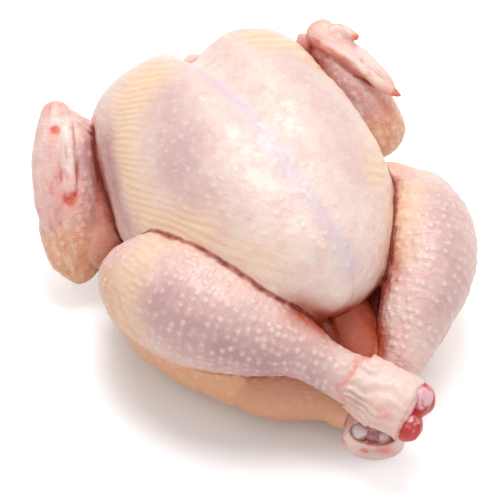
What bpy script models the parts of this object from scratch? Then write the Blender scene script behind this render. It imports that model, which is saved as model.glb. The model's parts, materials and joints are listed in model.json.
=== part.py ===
"""A whole raw chicken lying on its back, legs crossed and wings folded.

Metres, +Z up. The origin is on the flat rest face of the back, under the middle
of the breast. +Y runs to the neck end, -Y to the crossed legs, and +X is the
bird's own left side. Its right leg (-X) lies over its left leg (+X).
"""

import math

import bmesh
import bpy
import numpy as np
from mathutils import Matrix, Vector

# Driving sizes of the bird
VOXEL = 0.0021
SKIN_TRIANGLES = 10200
SMOOTH_STEPS = 5
REST_CUT_Z = 0.0

# Rows along the breast, neck end first: y, half width, height of the widest line,
# top of the lobes, depth below the widest line, depth of the cleft, squareness
BREAST_ROWS = (
    (0.135, 0.044, 0.070, 0.090, 0.030, 0.012, 2.5),
    (0.123, 0.058, 0.066, 0.105, 0.040, 0.016, 2.6),
    (0.104, 0.064, 0.061, 0.116, 0.046, 0.014, 2.6),
    (0.080, 0.067, 0.058, 0.121, 0.046, 0.009, 2.5),
    (0.050, 0.070, 0.056, 0.123, 0.046, 0.005, 2.4),
    (0.010, 0.066, 0.056, 0.120, 0.044, 0.002, 2.2),
    (-0.020, 0.051, 0.059, 0.110, 0.036, 0.001, 2.0),
    (-0.040, 0.033, 0.064, 0.098, 0.024, 0.000, 1.9),
    (-0.054, 0.015, 0.071, 0.084, 0.010, 0.000, 1.8),
)
CLEFT_HALF_WIDTH = 0.012

# Rows of a limb: x, y, z of its middle, half width and half depth of its section
CARCASS_ROWS = (
    (0.0, 0.116, 0.040, 0.046, 0.030),
    (0.0, 0.090, 0.040, 0.056, 0.042),
    (0.0, 0.045, 0.040, 0.060, 0.046),
    (0.0, 0.000, 0.032, 0.062, 0.036),
    (0.0, -0.035, 0.024, 0.060, 0.023),
    (0.0, -0.060, 0.021, 0.051, 0.020),
    (0.0, -0.084, 0.018, 0.022, 0.015),
)
BELLY_ROWS = (
    (0.006, -0.026, 0.036, 0.026, 0.024),
    (0.010, -0.048, 0.027, 0.022, 0.021),
    (0.012, -0.068, 0.021, 0.018, 0.018),
    (0.010, -0.082, 0.018, 0.010, 0.010),
)
OVER_THIGH_ROWS = (
    (-0.030, -0.046, 0.023, 0.020, 0.020),
    (-0.044, -0.030, 0.025, 0.022, 0.023),
    (-0.056, -0.006, 0.029, 0.027, 0.028),
    (-0.062, 0.026, 0.034, 0.029, 0.030),
    (-0.060, 0.052, 0.038, 0.024, 0.024),
)
UNDER_THIGH_ROWS = (
    (0.036, -0.050, 0.022, 0.020, 0.020),
    (0.053, -0.037, 0.024, 0.0225, 0.022),
    (0.058, -0.006, 0.029, 0.028, 0.029),
    (0.066, 0.020, 0.038, 0.030, 0.032),
    (0.070, 0.040, 0.038, 0.022, 0.024),
)
OVER_DRUMSTICK_ROWS = (
    (-0.0690, 0.0400, 0.0490, 0.0180, 0.0200),
    (-0.0735, 0.0220, 0.0530, 0.0270, 0.0280),
    (-0.0655, -0.0008, 0.0580, 0.0310, 0.0310),
    (-0.0540, -0.0249, 0.0600, 0.0290, 0.0290),
    (-0.0382, -0.0441, 0.0580, 0.0220, 0.0220),
    (-0.0246, -0.0574, 0.0550, 0.0160, 0.0160),
    (-0.0159, -0.0704, 0.0510, 0.0122, 0.0122),
    (-0.0083, -0.0807, 0.0480, 0.0126, 0.0116),
    (0.0004, -0.0902, 0.0450, 0.0150, 0.0124),
    (0.0065, -0.1014, 0.0430, 0.0174, 0.0132),
    (0.0147, -0.1127, 0.0408, 0.0180, 0.0138),
)
OVER_HOCK_UP = (-0.393, -0.286, 0.874)
DRUMSTICK_ENDS = (0.2, 0.03)
UNDER_DRUMSTICK_ROWS = (
    (0.0700, 0.0400, 0.0420, 0.0150, 0.0125),
    (0.0765, 0.0200, 0.0465, 0.0205, 0.0180),
    (0.0755, -0.0010, 0.0490, 0.0248, 0.0250),
    (0.0675, -0.0215, 0.0510, 0.0282, 0.0270),
    (0.0565, -0.0430, 0.0485, 0.0235, 0.0230),
    (0.0413, -0.0586, 0.0430, 0.0180, 0.0180),
    (0.0288, -0.0700, 0.0350, 0.0135, 0.0135),
    (0.0199, -0.0760, 0.0290, 0.0120, 0.0120),
    (0.0108, -0.0835, 0.0235, 0.0128, 0.0124),
    (0.0025, -0.0935, 0.0180, 0.0150, 0.0140),
    (-0.0055, -0.1060, 0.0155, 0.0162, 0.0150),
)

# The skin of the neck: folded down over the front, with a small lip in the cleft
NECK_FLAP_ROWS = (
    (0.000, 0.106, 0.074, 0.034, 0.014),
    (0.000, 0.124, 0.062, 0.036, 0.012),
    (0.002, 0.130, 0.044, 0.034, 0.009),
    (0.003, 0.125, 0.026, 0.030, 0.007),
    (0.002, 0.110, 0.013, 0.024, 0.007),
)
NECK_LIP_ROWS = (
    (-0.002, 0.112, 0.084, 0.007, 0.005),
    (0.004, 0.121, 0.087, 0.007, 0.004),
    (0.010, 0.124, 0.083, 0.005, 0.004),
)
TAIL_ROWS = (
    (0.002, -0.066, 0.018, 0.024, 0.015),
    (0.003, -0.082, 0.019, 0.018, 0.012),
    (0.003, -0.092, 0.021, 0.010, 0.008),
)

# The right wing (-X) and the left wing (+X), folded, with their last joints cut off
WINGS = (
    # Right forearm, upper arm, hand, finger, thumb and web
    (
        (-0.0709, 0.1249, 0.0810, 0.0070, 0.0070),
        (-0.0729, 0.1108, 0.0720, 0.0120, 0.0110),
        (-0.0773, 0.1020, 0.0610, 0.0145, 0.0130),
        (-0.0825, 0.0924, 0.0510, 0.0170, 0.0140),
        (-0.0845, 0.0838, 0.0400, 0.0195, 0.0150),
        (-0.0879, 0.0760, 0.0290, 0.0170, 0.0140),
        (-0.0893, 0.0698, 0.0200, 0.0125, 0.0110),
        (-0.0911, 0.0650, 0.0130, 0.0070, 0.0080),
    ),
    (
        (-0.0540, 0.1080, 0.0560, 0.0120, 0.0150),
        (-0.0650, 0.0960, 0.0470, 0.0140, 0.0160),
        (-0.0720, 0.0830, 0.0370, 0.0150, 0.0160),
        (-0.0780, 0.0710, 0.0250, 0.0150, 0.0150),
        (-0.0790, 0.0640, 0.0190, 0.0100, 0.0110),
    ),
    (
        (-0.0729, 0.1278, 0.0845, 0.0080, 0.0065),
        (-0.0772, 0.1206, 0.0830, 0.0085, 0.0075),
        (-0.0828, 0.1123, 0.0780, 0.0098, 0.0080),
        (-0.0880, 0.1038, 0.0715, 0.0100, 0.0080),
        (-0.0922, 0.0950, 0.0635, 0.0100, 0.0080),
        (-0.0950, 0.0871, 0.0540, 0.0095, 0.0075),
        (-0.0964, 0.0789, 0.0410, 0.0070, 0.0060),
    ),
    (
        (-0.0740, 0.1172, 0.0846, 0.0045, 0.0040),
        (-0.0781, 0.1043, 0.0801, 0.0040, 0.0040),
        (-0.0825, 0.0925, 0.0719, 0.0036, 0.0036),
        (-0.0870, 0.0821, 0.0618, 0.0034, 0.0032),
    ),
    (
        (-0.0776, 0.1141, 0.0852, 0.0040, 0.0040),
        (-0.0820, 0.1102, 0.0835, 0.0032, 0.0030),
    ),
    (
        (-0.0709, 0.1134, 0.0840, 0.0050, 0.0030),
        (-0.0665, 0.1066, 0.0760, 0.0085, 0.0030),
        (-0.0590, 0.1003, 0.0690, 0.0115, 0.0035),
    ),
    # Left forearm, hand, finger, thumb and web
    (
        (0.0765, 0.1130, 0.0880, 0.0110, 0.0110),
        (0.0790, 0.1010, 0.0770, 0.0135, 0.0130),
        (0.0820, 0.0890, 0.0660, 0.0160, 0.0140),
        (0.0855, 0.0790, 0.0540, 0.0170, 0.0150),
        (0.0890, 0.0700, 0.0420, 0.0168, 0.0150),
        (0.0930, 0.0620, 0.0325, 0.0125, 0.0120),
    ),
    (
        (0.0719, 0.1155, 0.0930, 0.0080, 0.0060),
        (0.0734, 0.1077, 0.0915, 0.0080, 0.0070),
        (0.0795, 0.0970, 0.0877, 0.0070, 0.0065),
        (0.0871, 0.0869, 0.0828, 0.0062, 0.0055),
        (0.0933, 0.0775, 0.0772, 0.0048, 0.0042),
        (0.0984, 0.0694, 0.0716, 0.0028, 0.0024),
    ),
    (
        (0.0685, 0.1033, 0.0921, 0.0034, 0.0034),
        (0.0770, 0.0917, 0.0881, 0.0034, 0.0034),
        (0.0848, 0.0809, 0.0820, 0.0032, 0.0030),
        (0.0916, 0.0728, 0.0760, 0.0030, 0.0028),
        (0.1000, 0.0650, 0.0705, 0.0018, 0.0016),
    ),
    (
        (0.0743, 0.1025, 0.0940, 0.0042, 0.0040),
        (0.0807, 0.1033, 0.0955, 0.0036, 0.0032),
        (0.0845, 0.0978, 0.0960, 0.0029, 0.0027),
        (0.0870, 0.0921, 0.0950, 0.0022, 0.0021),
    ),
    (
        (0.0695, 0.1112, 0.0880, 0.0080, 0.0040),
        (0.0647, 0.1093, 0.0820, 0.0070, 0.0035),
        (0.0580, 0.1070, 0.0780, 0.0080, 0.0040),
    ),
)

# Creases and folds pressed into the skin: path, depth, half width
CREASES = (
    # The fold around the right knee
    (
        ((-0.085, 0.026, 0.074), (-0.096, 0.006, 0.068), (-0.096, -0.007, 0.056),
         (-0.083, -0.012, 0.028), (-0.071, -0.031, 0.025)),
        0.0014, 0.0020,
    ),
    # The crease of the belly, between the legs
    (((0.000, -0.044, 0.053), (-0.001, -0.056, 0.047), (0.001, -0.068, 0.040)), 0.0022, 0.0022),
    # Two folds below the last joint of the right wing
    (((-0.097, 0.083, 0.058), (-0.101, 0.070, 0.038), (-0.098, 0.061, 0.026)), 0.0012, 0.0018),
    (((-0.094, 0.080, 0.058), (-0.096, 0.070, 0.044), (-0.094, 0.060, 0.028)), 0.0012, 0.0018),
    # The edge right of the ridge at the tip of the breast
    (((0.013, -0.038, 0.094), (0.014, -0.048, 0.080), (0.013, -0.051, 0.066)), 0.0010, 0.0025),
)
RIDGES = (
    # The keel bone under the skin
    (((0.002, -0.012, 0.113), (0.006, -0.033, 0.102), (0.009, -0.047, 0.084)), 0.0012, 0.0050),
)

# The loose edge of skin around the right hock
CUFF_PLACE = Vector((-0.0100, -0.0880, 0.0460))
CUFF_ALONG = Vector((0.62, -0.77, -0.16)).normalized()
CUFF_REACH = 0.026
CUFF_RISE = 0.0013
CUFF_WAVE = 0.0022
CUFF_STEP = 0.0016
CUFF_FADE = 0.020
CUFF_UNDERSIDE = -0.013

# The hollows that the cut hocks leave: middle, direction, along the long side, radii, depth
HOLLOWS = (
    ((0.0154, -0.1139, 0.0414), (0.58, -0.80, -0.17), (0.708, 0.516, 0.485), 0.0160, 0.0125, 0.0030),
    ((-0.0028, -0.1010, 0.0232), (-0.40, -0.66, 0.64), (0.80, -0.60, -0.05), 0.0116, 0.0056, 0.0046),
)
HOLLOW_REACH = 0.014

# Bones: rows of the shaft, the line that the knuckles lie on, the way the cut end faces,
# then middle and radii of each knuckle: across both, the way it faces and along the line
BONES = {
    "leg_bone_over": (
        (
            (-0.0540, -0.0180, 0.0590, 0.0060, 0.0060),
            (-0.0340, -0.0470, 0.0565, 0.0042, 0.0042),
            (-0.0110, -0.0780, 0.0475, 0.0044, 0.0044),
            (0.0080, -0.1030, 0.0430, 0.0075, 0.0070),
            (0.0150, -0.1130, 0.0415, 0.0080, 0.0070),
        ),
        (0.708, 0.516, 0.485),
        (0.58, -0.80, -0.17),
        (
            ((0.0188, -0.1080, 0.0454), (0.0094, 0.0080, 0.0088)),
            ((0.0088, -0.1156, 0.0384), (0.0084, 0.0072, 0.0079)),
        ),
    ),
    "leg_bone_under": (
        (
            (0.0620, -0.0240, 0.0510, 0.0060, 0.0060),
            (0.0430, -0.0560, 0.0430, 0.0042, 0.0042),
            (0.0180, -0.0780, 0.0275, 0.0042, 0.0042),
            (0.0010, -0.0940, 0.0190, 0.0065, 0.0060),
            (-0.0035, -0.1025, 0.0195, 0.0075, 0.0060),
        ),
        (0.780, -0.620, -0.080),
        (-0.40, -0.66, 0.64),
        (
            ((-0.0082, -0.0962, 0.0222), (0.0048, 0.0046, 0.0050)),
            ((-0.0025, -0.1005, 0.0200), (0.0030, 0.0030, 0.0030)),
            ((0.0030, -0.1030, 0.0205), (0.0056, 0.0050, 0.0050)),
        ),
    ),
}
BONE_CLEARANCE = 0.0005


def clear_scene():
    for obj in list(bpy.data.objects):
        bpy.data.objects.remove(obj)


def new_object(name, mesh):
    obj = bpy.data.objects.new(name, mesh)
    bpy.context.scene.collection.objects.link(obj)
    return obj


def catmull_rom(rows, t):
    """The values at each t from 0 to 1 of a smooth curve through all rows."""
    rows = np.asarray(rows, float)
    steps = np.linalg.norm(np.diff(rows[:, :3], axis=0), axis=1)
    knots = np.concatenate([[0.0], np.cumsum(steps)]) / steps.sum()
    slopes = np.gradient(rows, knots, axis=0)
    i = np.clip(np.searchsorted(knots, t, side="right") - 1, 0, len(rows) - 2)
    width = (knots[i + 1] - knots[i])[:, None]
    u = (np.asarray(t)[:, None] - knots[i][:, None]) / width
    return (
        (2 * u**3 - 3 * u**2 + 1) * rows[i]
        + (u**3 - 2 * u**2 + u) * width * slopes[i]
        + (3 * u**2 - 2 * u**3) * rows[i + 1]
        + (u**3 - u**2) * width * slopes[i + 1]
    )


def ball(segments, rings):
    """A unit ball, with each vertex's share of the way from pole to pole and its angle."""
    mesh = bpy.data.meshes.new("form")
    bm = bmesh.new()
    bmesh.ops.create_uvsphere(bm, u_segments=segments, v_segments=rings, radius=1)
    bm.to_mesh(mesh)
    bm.free()
    co = np.empty(len(mesh.vertices) * 3, np.float32)
    mesh.vertices.foreach_get("co", co)
    co = co.reshape(-1, 3).astype(float)
    along = np.arccos(np.clip(co[:, 2], -1, 1)) / math.pi
    around = np.arctan2(co[:, 1], co[:, 0])
    return mesh, along, around


def rounding(along, start, end):
    """The share of its section that a form keeps near its two rounded ends."""
    near_start = np.clip(1 - along / start, 0, 1)
    near_end = np.clip(1 - (1 - along) / end, 0, 1)
    return np.sqrt(1 - near_start**2) * np.sqrt(1 - near_end**2)


def limb(rows, ends=(0.15, 0.15), up=(0, 0, 1), segments=32, rings=40):
    """A ball drawn out along the rows, with an oval section."""
    mesh, along, around = ball(segments, rings)
    places = catmull_rom(rows, along)
    ahead = catmull_rom(rows, np.clip(along + 0.01, 0, 1))
    behind = catmull_rom(rows, np.clip(along - 0.01, 0, 1))
    tangent = ahead[:, :3] - behind[:, :3]
    tangent /= np.linalg.norm(tangent, axis=1)[:, None]
    side = np.cross(tangent, np.asarray(up, float))
    side /= np.linalg.norm(side, axis=1)[:, None]
    depth = np.cross(side, tangent)
    kept = rounding(along, *ends)
    co = (
        places[:, :3]
        + side * (kept * places[:, 3] * np.cos(around))[:, None]
        + depth * (kept * places[:, 4] * np.sin(around))[:, None]
    )
    mesh.vertices.foreach_set("co", co.astype(np.float32).ravel())
    return mesh


def breast():
    """Two lobes side by side over the keel, square at the neck end and a blunt ridge at the tip."""
    mesh, along, around = ball(128, 72)
    rows = np.array([(row[0], 0, 0, *row[1:]) for row in BREAST_ROWS])
    y, _, _, half_width, middle, top, below, cleft, square = catmull_rom(rows, along).T
    kept = rounding(along, 0.14, 0.10)
    across, upward = np.cos(around), np.sin(around)
    x = half_width * kept * np.sign(across) * np.abs(across) ** (2 / square)
    rise = kept * np.abs(upward) ** (2 / square)
    z = middle + np.where(upward > 0, (top - middle) * rise, -below * rise)
    z -= np.where(upward > 0, cleft * kept * np.exp(-((x / CLEFT_HALF_WIDTH) ** 2)), 0)
    co = np.stack([x, y, z], axis=1)
    mesh.vertices.foreach_set("co", co.astype(np.float32).ravel())
    mesh.flip_normals()
    return mesh


def fused(meshes):
    """The forms as one closed skin: united, remade with even faces and smoothed."""
    body, *others = meshes
    obj = new_object("chicken", body)
    forms = bpy.data.collections.new("forms")
    for mesh in others:
        forms.objects.link(bpy.data.objects.new("form", mesh))
    union = obj.modifiers.new("Union", "BOOLEAN")
    union.operation = "UNION"
    union.operand_type = "COLLECTION"
    union.collection = forms
    union.solver = "MANIFOLD"
    applied(obj)
    for form in list(forms.objects):
        bpy.data.objects.remove(form)
    bpy.data.collections.remove(forms)
    remesh = obj.modifiers.new("Even faces", "REMESH")
    remesh.mode = "VOXEL"
    remesh.voxel_size = VOXEL
    smooth = obj.modifiers.new("Soften", "SMOOTH")
    smooth.factor = 0.5
    smooth.iterations = SMOOTH_STEPS
    return applied(obj)


def applied(obj):
    graph = bpy.context.evaluated_depsgraph_get()
    mesh = bpy.data.meshes.new_from_object(obj.evaluated_get(graph))
    obj.modifiers.clear()
    old = obj.data
    obj.data = mesh
    bpy.data.meshes.remove(old)
    return obj


def thinned(obj, triangles):
    obj.data.calc_loop_triangles()
    have = len(obj.data.loop_triangles)
    thin = obj.modifiers.new("Fewer faces", "DECIMATE")
    thin.ratio = min(1.0, triangles / have)
    thin.use_collapse_triangulate = True
    return applied(obj)


def vertices_of(mesh):
    co = np.empty(len(mesh.vertices) * 3, np.float32)
    mesh.vertices.foreach_get("co", co)
    return co.reshape(-1, 3).astype(float)


def from_path(points, path):
    """Each point's distance from a path."""
    nearest = np.full(len(points), np.inf)
    for start, end in zip(path[:-1], path[1:]):
        start, end = np.array(start), np.array(end)
        share = np.clip((points - start) @ (end - start) / ((end - start) @ (end - start)), 0, 1)
        gap = np.linalg.norm(points - start - share[:, None] * (end - start), axis=1)
        nearest = np.minimum(nearest, gap)
    return nearest


def smooth_step(x):
    x = np.clip(x, 0, 1)
    return x * x * (3 - 2 * x)


def outer_skin(obj):
    """Keeps the outside surface and fills the pockets that the joined forms close in."""
    bm = bmesh.new()
    bm.from_mesh(obj.data)
    start = max(bm.verts, key=lambda v: v.co.z)
    reached = {start}
    front = [start]
    while front:
        vert = front.pop()
        for edge in vert.link_edges:
            other = edge.other_vert(vert)
            if other not in reached:
                reached.add(other)
                front.append(other)
    inner = [v for v in bm.verts if v not in reached]
    bmesh.ops.delete(bm, geom=inner, context="VERTS")
    bm.to_mesh(obj.data)
    bm.free()
    return obj


def sculpted(obj):
    """Presses the creases in, raises the ridges and the cuff, and hollows the cut hocks."""
    mesh = obj.data
    co = vertices_of(mesh)
    normals = np.empty(len(mesh.vertices) * 3, np.float32)
    mesh.vertices.foreach_get("normal", normals)
    normals = normals.reshape(-1, 3).astype(float)
    rise = np.zeros(len(co))
    for path, depth, width in CREASES:
        rise -= depth * np.exp(-((from_path(co, path) / width) ** 2))
    for path, height, width in RIDGES:
        rise += height * np.exp(-((from_path(co, path) / width) ** 2))

    along = np.array(CUFF_ALONG)
    away = co - np.array(CUFF_PLACE)
    past = away @ along
    radial = away - past[:, None] * along
    reach = np.linalg.norm(radial, axis=1)
    turn = np.arctan2(radial[:, 2], radial[:, 0])
    edge = CUFF_WAVE * (np.sin(2 * turn + 0.6) + 0.4 * np.sin(5 * turn))
    near = (reach < CUFF_REACH) & (radial[:, 2] > CUFF_UNDERSIDE)
    fade = np.exp(-np.clip(past, 0, None) / CUFF_FADE)
    rise += near * CUFF_RISE * smooth_step((past - edge) / CUFF_STEP) * fade

    co += normals * rise[:, None]
    for middle, out, long_side, long_radius, short_radius, depth in HOLLOWS:
        out = np.array(out) / np.linalg.norm(out)
        first = np.array(long_side) - out * (np.array(long_side) @ out)
        first /= np.linalg.norm(first)
        second = np.cross(out, first)
        away = co - np.array(middle)
        height = away @ out
        spread = (away @ first / long_radius) ** 2 + (away @ second / short_radius) ** 2
        inside = (spread < 1) & (height > -HOLLOW_REACH)
        floor = -depth * np.sqrt(np.clip(1 - spread, 0, 1))
        drop = np.where(inside & (height > floor), floor - height, 0)
        co += drop[:, None] * out
    mesh.vertices.foreach_set("co", co.astype(np.float32).ravel())
    mesh.update()
    return obj


def rest_face(obj):
    """Cuts the underside flat, so that the bird lies steadily on its back."""
    bm = bmesh.new()
    bm.from_mesh(obj.data)
    cut = bmesh.ops.bisect_plane(
        bm,
        geom=bm.verts[:] + bm.edges[:] + bm.faces[:],
        plane_co=(0, 0, REST_CUT_Z),
        plane_no=(0, 0, -1),
        clear_outer=True,
    )
    edges = [e for e in cut["geom_cut"] if isinstance(e, bmesh.types.BMEdge)]
    bmesh.ops.holes_fill(bm, edges=edges)
    bmesh.ops.triangulate(bm, faces=[f for f in bm.faces if len(f.verts) > 3])
    bm.to_mesh(obj.data)
    bm.free()
    return obj


def boolean(obj, other, operation):
    cut = obj.modifiers.new(operation.title(), "BOOLEAN")
    cut.operation = operation
    cut.solver = "MANIFOLD"
    cut.object = other
    applied(obj)
    bpy.data.objects.remove(other)
    return obj


def turned_to(line, facing):
    """The turn of a form that lies along a line and faces outwards."""
    line = Vector(line).normalized()
    facing = Vector(facing)
    facing = (facing - facing.dot(line) * line).normalized()
    return Matrix((facing.cross(line), facing, line)).transposed().to_4x4()


def bone(name, rows, line, facing, knuckles, extra=0.0):
    """A leg bone: its shaft up the drumstick and its knuckles at the cut hock."""
    rows = [(x, y, z, width + extra, depth + extra) for x, y, z, width, depth in rows]
    obj = new_object(name, limb(rows, ends=(0.08, 0.04), segments=10, rings=12))
    turned = turned_to(line, facing)
    for middle, radii in knuckles:
        mesh = bpy.data.meshes.new("knuckle")
        bm = bmesh.new()
        bmesh.ops.create_uvsphere(bm, u_segments=14, v_segments=9, radius=1)
        bmesh.ops.scale(bm, vec=[radius + extra for radius in radii], verts=bm.verts)
        bmesh.ops.transform(bm, matrix=Matrix.Translation(middle) @ turned, verts=bm.verts)
        bm.to_mesh(mesh)
        bm.free()
        boolean(obj, new_object("knuckle", mesh), "UNION")
    return obj


def paint(obj, colour, roughness):
    material = bpy.data.materials.new(obj.name)
    material.use_nodes = True
    shader = material.node_tree.nodes["Principled BSDF"]
    shader.inputs["Base Color"].default_value = colour
    shader.inputs["Roughness"].default_value = roughness
    obj.data.materials.clear()
    obj.data.materials.append(material)


def main():
    clear_scene()
    forms = [
        breast(),
        limb(CARCASS_ROWS),
        limb(OVER_THIGH_ROWS),
        limb(UNDER_THIGH_ROWS),
        limb(OVER_DRUMSTICK_ROWS, ends=DRUMSTICK_ENDS, up=OVER_HOCK_UP),
        limb(UNDER_DRUMSTICK_ROWS, ends=DRUMSTICK_ENDS),
        limb(BELLY_ROWS),
        limb(NECK_FLAP_ROWS, up=(0, 1, 0.3)),
        limb(NECK_LIP_ROWS),
        limb(TAIL_ROWS),
    ]
    for rows in WINGS:
        forms.append(limb(rows, ends=(0.12, 0.12), up=(0, -0.6, 0.7)))
    chicken = sculpted(outer_skin(fused(forms)))
    thinned(chicken, SKIN_TRIANGLES)
    rest_face(chicken)
    for name, sizes in BONES.items():
        boolean(chicken, bone("socket", *sizes, extra=BONE_CLEARANCE), "DIFFERENCE")
        paint(bone(name, *sizes), (0.80, 0.45, 0.42, 1), 0.3)
    paint(chicken, (0.85, 0.62, 0.52, 1), 0.35)
    parts = bpy.data.collections.new("raw chicken")
    bpy.context.scene.collection.children.link(parts)
    for obj in list(bpy.context.scene.collection.objects):
        bpy.context.scene.collection.objects.unlink(obj)
        parts.objects.link(obj)


main()
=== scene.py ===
import json
import math

import bmesh
import bpy
import numpy as np
from mathutils import Matrix, Vector
from mathutils.bvhtree import BVHTree
from mathutils.kdtree import KDTree

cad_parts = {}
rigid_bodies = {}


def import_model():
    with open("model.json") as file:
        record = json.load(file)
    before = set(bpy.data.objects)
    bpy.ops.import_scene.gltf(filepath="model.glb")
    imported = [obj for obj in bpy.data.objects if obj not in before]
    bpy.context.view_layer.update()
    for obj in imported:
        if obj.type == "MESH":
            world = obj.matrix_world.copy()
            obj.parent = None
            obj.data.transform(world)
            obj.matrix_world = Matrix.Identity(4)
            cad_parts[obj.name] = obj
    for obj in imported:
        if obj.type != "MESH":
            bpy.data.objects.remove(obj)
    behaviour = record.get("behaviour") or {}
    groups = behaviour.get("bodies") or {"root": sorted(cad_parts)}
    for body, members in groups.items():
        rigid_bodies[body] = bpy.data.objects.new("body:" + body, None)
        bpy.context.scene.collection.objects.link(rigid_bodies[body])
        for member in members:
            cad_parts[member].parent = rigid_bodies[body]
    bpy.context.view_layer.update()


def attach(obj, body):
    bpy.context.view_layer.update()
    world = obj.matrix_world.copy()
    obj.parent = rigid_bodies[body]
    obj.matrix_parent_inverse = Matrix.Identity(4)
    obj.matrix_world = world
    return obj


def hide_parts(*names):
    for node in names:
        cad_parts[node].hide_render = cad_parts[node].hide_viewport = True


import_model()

# The stage: a white floor that glows faintly around the bird, under a white sky, lit by
# a wide soft panel overhead and a smaller one behind the bird's left shoulder. The
# camera looks down on the bird from its right side, past the crossed legs.
VIEW_TURN = math.radians(-26)
VIEW_RISE = math.radians(47)
VIEW_DISTANCE = 1.4
VIEW_WIDTH = 0.25
VIEW_TARGET = Vector((-0.0308, -0.0175, 0.0907))
SENSOR_WIDTH = 36
NEAREST_SEEN = 0.01
SKY_FILL = 0.72
FLOOR_HALF_SIZE = 6.0
FLOOR_WHITE = 0.9
FLOOR_ROUGHNESS = 0.9
# The floor's glow is only for the camera. It grows with the distance from the bird, so
# that the shadow stays dark near the bird and fades early.
GLOW_MIDDLE = (-0.02, -0.01, 0.0)
GLOW_START = 0.064
GLOW_FULL = 0.102
GLOW_NEAR = 0.06
GLOW_FAR = 0.36
# Each panel: its place, its two sides and its power
TOP_PANEL = (Vector((0.12, 0.20, 1.50)), (0.60, 0.50), 7.8)
BACK_PANEL = (Vector((0.42, 0.74, 1.10)), (0.30, 0.24), 2.6)
PANEL_TARGET = Vector((0, 0, 0.06))


def white_sky():
    """White to the camera, and dimmer as a light, so that the bird keeps its shading."""
    world = bpy.data.worlds.new("white sky")
    bpy.context.scene.world = world
    world.use_nodes = True
    nodes, links = world.node_tree.nodes, world.node_tree.links
    sky = nodes["Background"]
    sky.inputs["Color"].default_value = (1, 1, 1, 1)
    path = nodes.new("ShaderNodeLightPath")
    strength = nodes.new("ShaderNodeMapRange")
    strength.inputs["To Min"].default_value = SKY_FILL
    strength.inputs["To Max"].default_value = 1.0
    links.new(path.outputs["Is Camera Ray"], strength.inputs["Value"])
    links.new(strength.outputs["Result"], sky.inputs["Strength"])


def white_floor():
    """A wide matt sheet with its glow, which takes the bird's shadow."""
    mesh = bpy.data.meshes.new("floor")
    bm = bmesh.new()
    bmesh.ops.create_grid(bm, x_segments=1, y_segments=1, size=FLOOR_HALF_SIZE)
    bm.to_mesh(mesh)
    bm.free()
    floor = bpy.data.objects.new("floor", mesh)
    bpy.context.scene.collection.objects.link(floor)
    material = bpy.data.materials.new("white floor")
    material.use_nodes = True
    shader = material.node_tree.nodes["Principled BSDF"]
    shader.inputs["Base Color"].default_value = (FLOOR_WHITE, FLOOR_WHITE, FLOOR_WHITE, 1)
    shader.inputs["Roughness"].default_value = FLOOR_ROUGHNESS
    shader.inputs["Specular IOR Level"].default_value = 0.0
    shader.inputs["Emission Color"].default_value = (1, 1, 1, 1)
    nodes, links = material.node_tree.nodes, material.node_tree.links
    path = nodes.new("ShaderNodeLightPath")
    place = nodes.new("ShaderNodeTexCoord")
    away = nodes.new("ShaderNodeVectorMath")
    away.operation = "DISTANCE"
    away.inputs[1].default_value = GLOW_MIDDLE
    links.new(place.outputs["Object"], away.inputs[0])
    fade = nodes.new("ShaderNodeMapRange")
    fade.interpolation_type = "SMOOTHSTEP"
    fade.inputs["From Min"].default_value = GLOW_START
    fade.inputs["From Max"].default_value = GLOW_FULL
    fade.inputs["To Min"].default_value = GLOW_NEAR
    fade.inputs["To Max"].default_value = GLOW_FAR
    links.new(away.outputs["Value"], fade.inputs["Value"])
    glow = nodes.new("ShaderNodeMath")
    glow.operation = "MULTIPLY"
    links.new(path.outputs["Is Camera Ray"], glow.inputs[0])
    links.new(fade.outputs["Result"], glow.inputs[1])
    links.new(glow.outputs[0], shader.inputs["Emission Strength"])
    mesh.materials.append(material)


def soft_panel(name, place, size, power):
    light = bpy.data.lights.new(name, "AREA")
    light.shape = "RECTANGLE"
    light.size, light.size_y = size
    light.energy = power
    panel = bpy.data.objects.new(name, light)
    turn = (place - PANEL_TARGET).to_track_quat("Z", "Y")
    panel.matrix_world = Matrix.Translation(place) @ turn.to_matrix().to_4x4()
    bpy.context.scene.collection.objects.link(panel)


def view_camera():
    lens = bpy.data.cameras.new("view")
    lens.sensor_width = SENSOR_WIDTH
    lens.lens = SENSOR_WIDTH * VIEW_DISTANCE / VIEW_WIDTH
    lens.clip_start = NEAREST_SEEN
    camera = bpy.data.objects.new("view", lens)
    bpy.context.scene.collection.objects.link(camera)
    back = Vector((
        math.sin(VIEW_TURN) * math.cos(VIEW_RISE),
        -math.cos(VIEW_TURN) * math.cos(VIEW_RISE),
        math.sin(VIEW_RISE),
    ))
    place = Matrix.Translation(VIEW_TARGET + VIEW_DISTANCE * back)
    camera.matrix_world = place @ back.to_track_quat("Z", "Y").to_matrix().to_4x4()
    bpy.context.scene.camera = camera


white_sky()
white_floor()
soft_panel("top panel", *TOP_PANEL)
soft_panel("back panel", *BACK_PANEL)
view_camera()
bpy.context.scene.view_settings.view_transform = "Standard"


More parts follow.
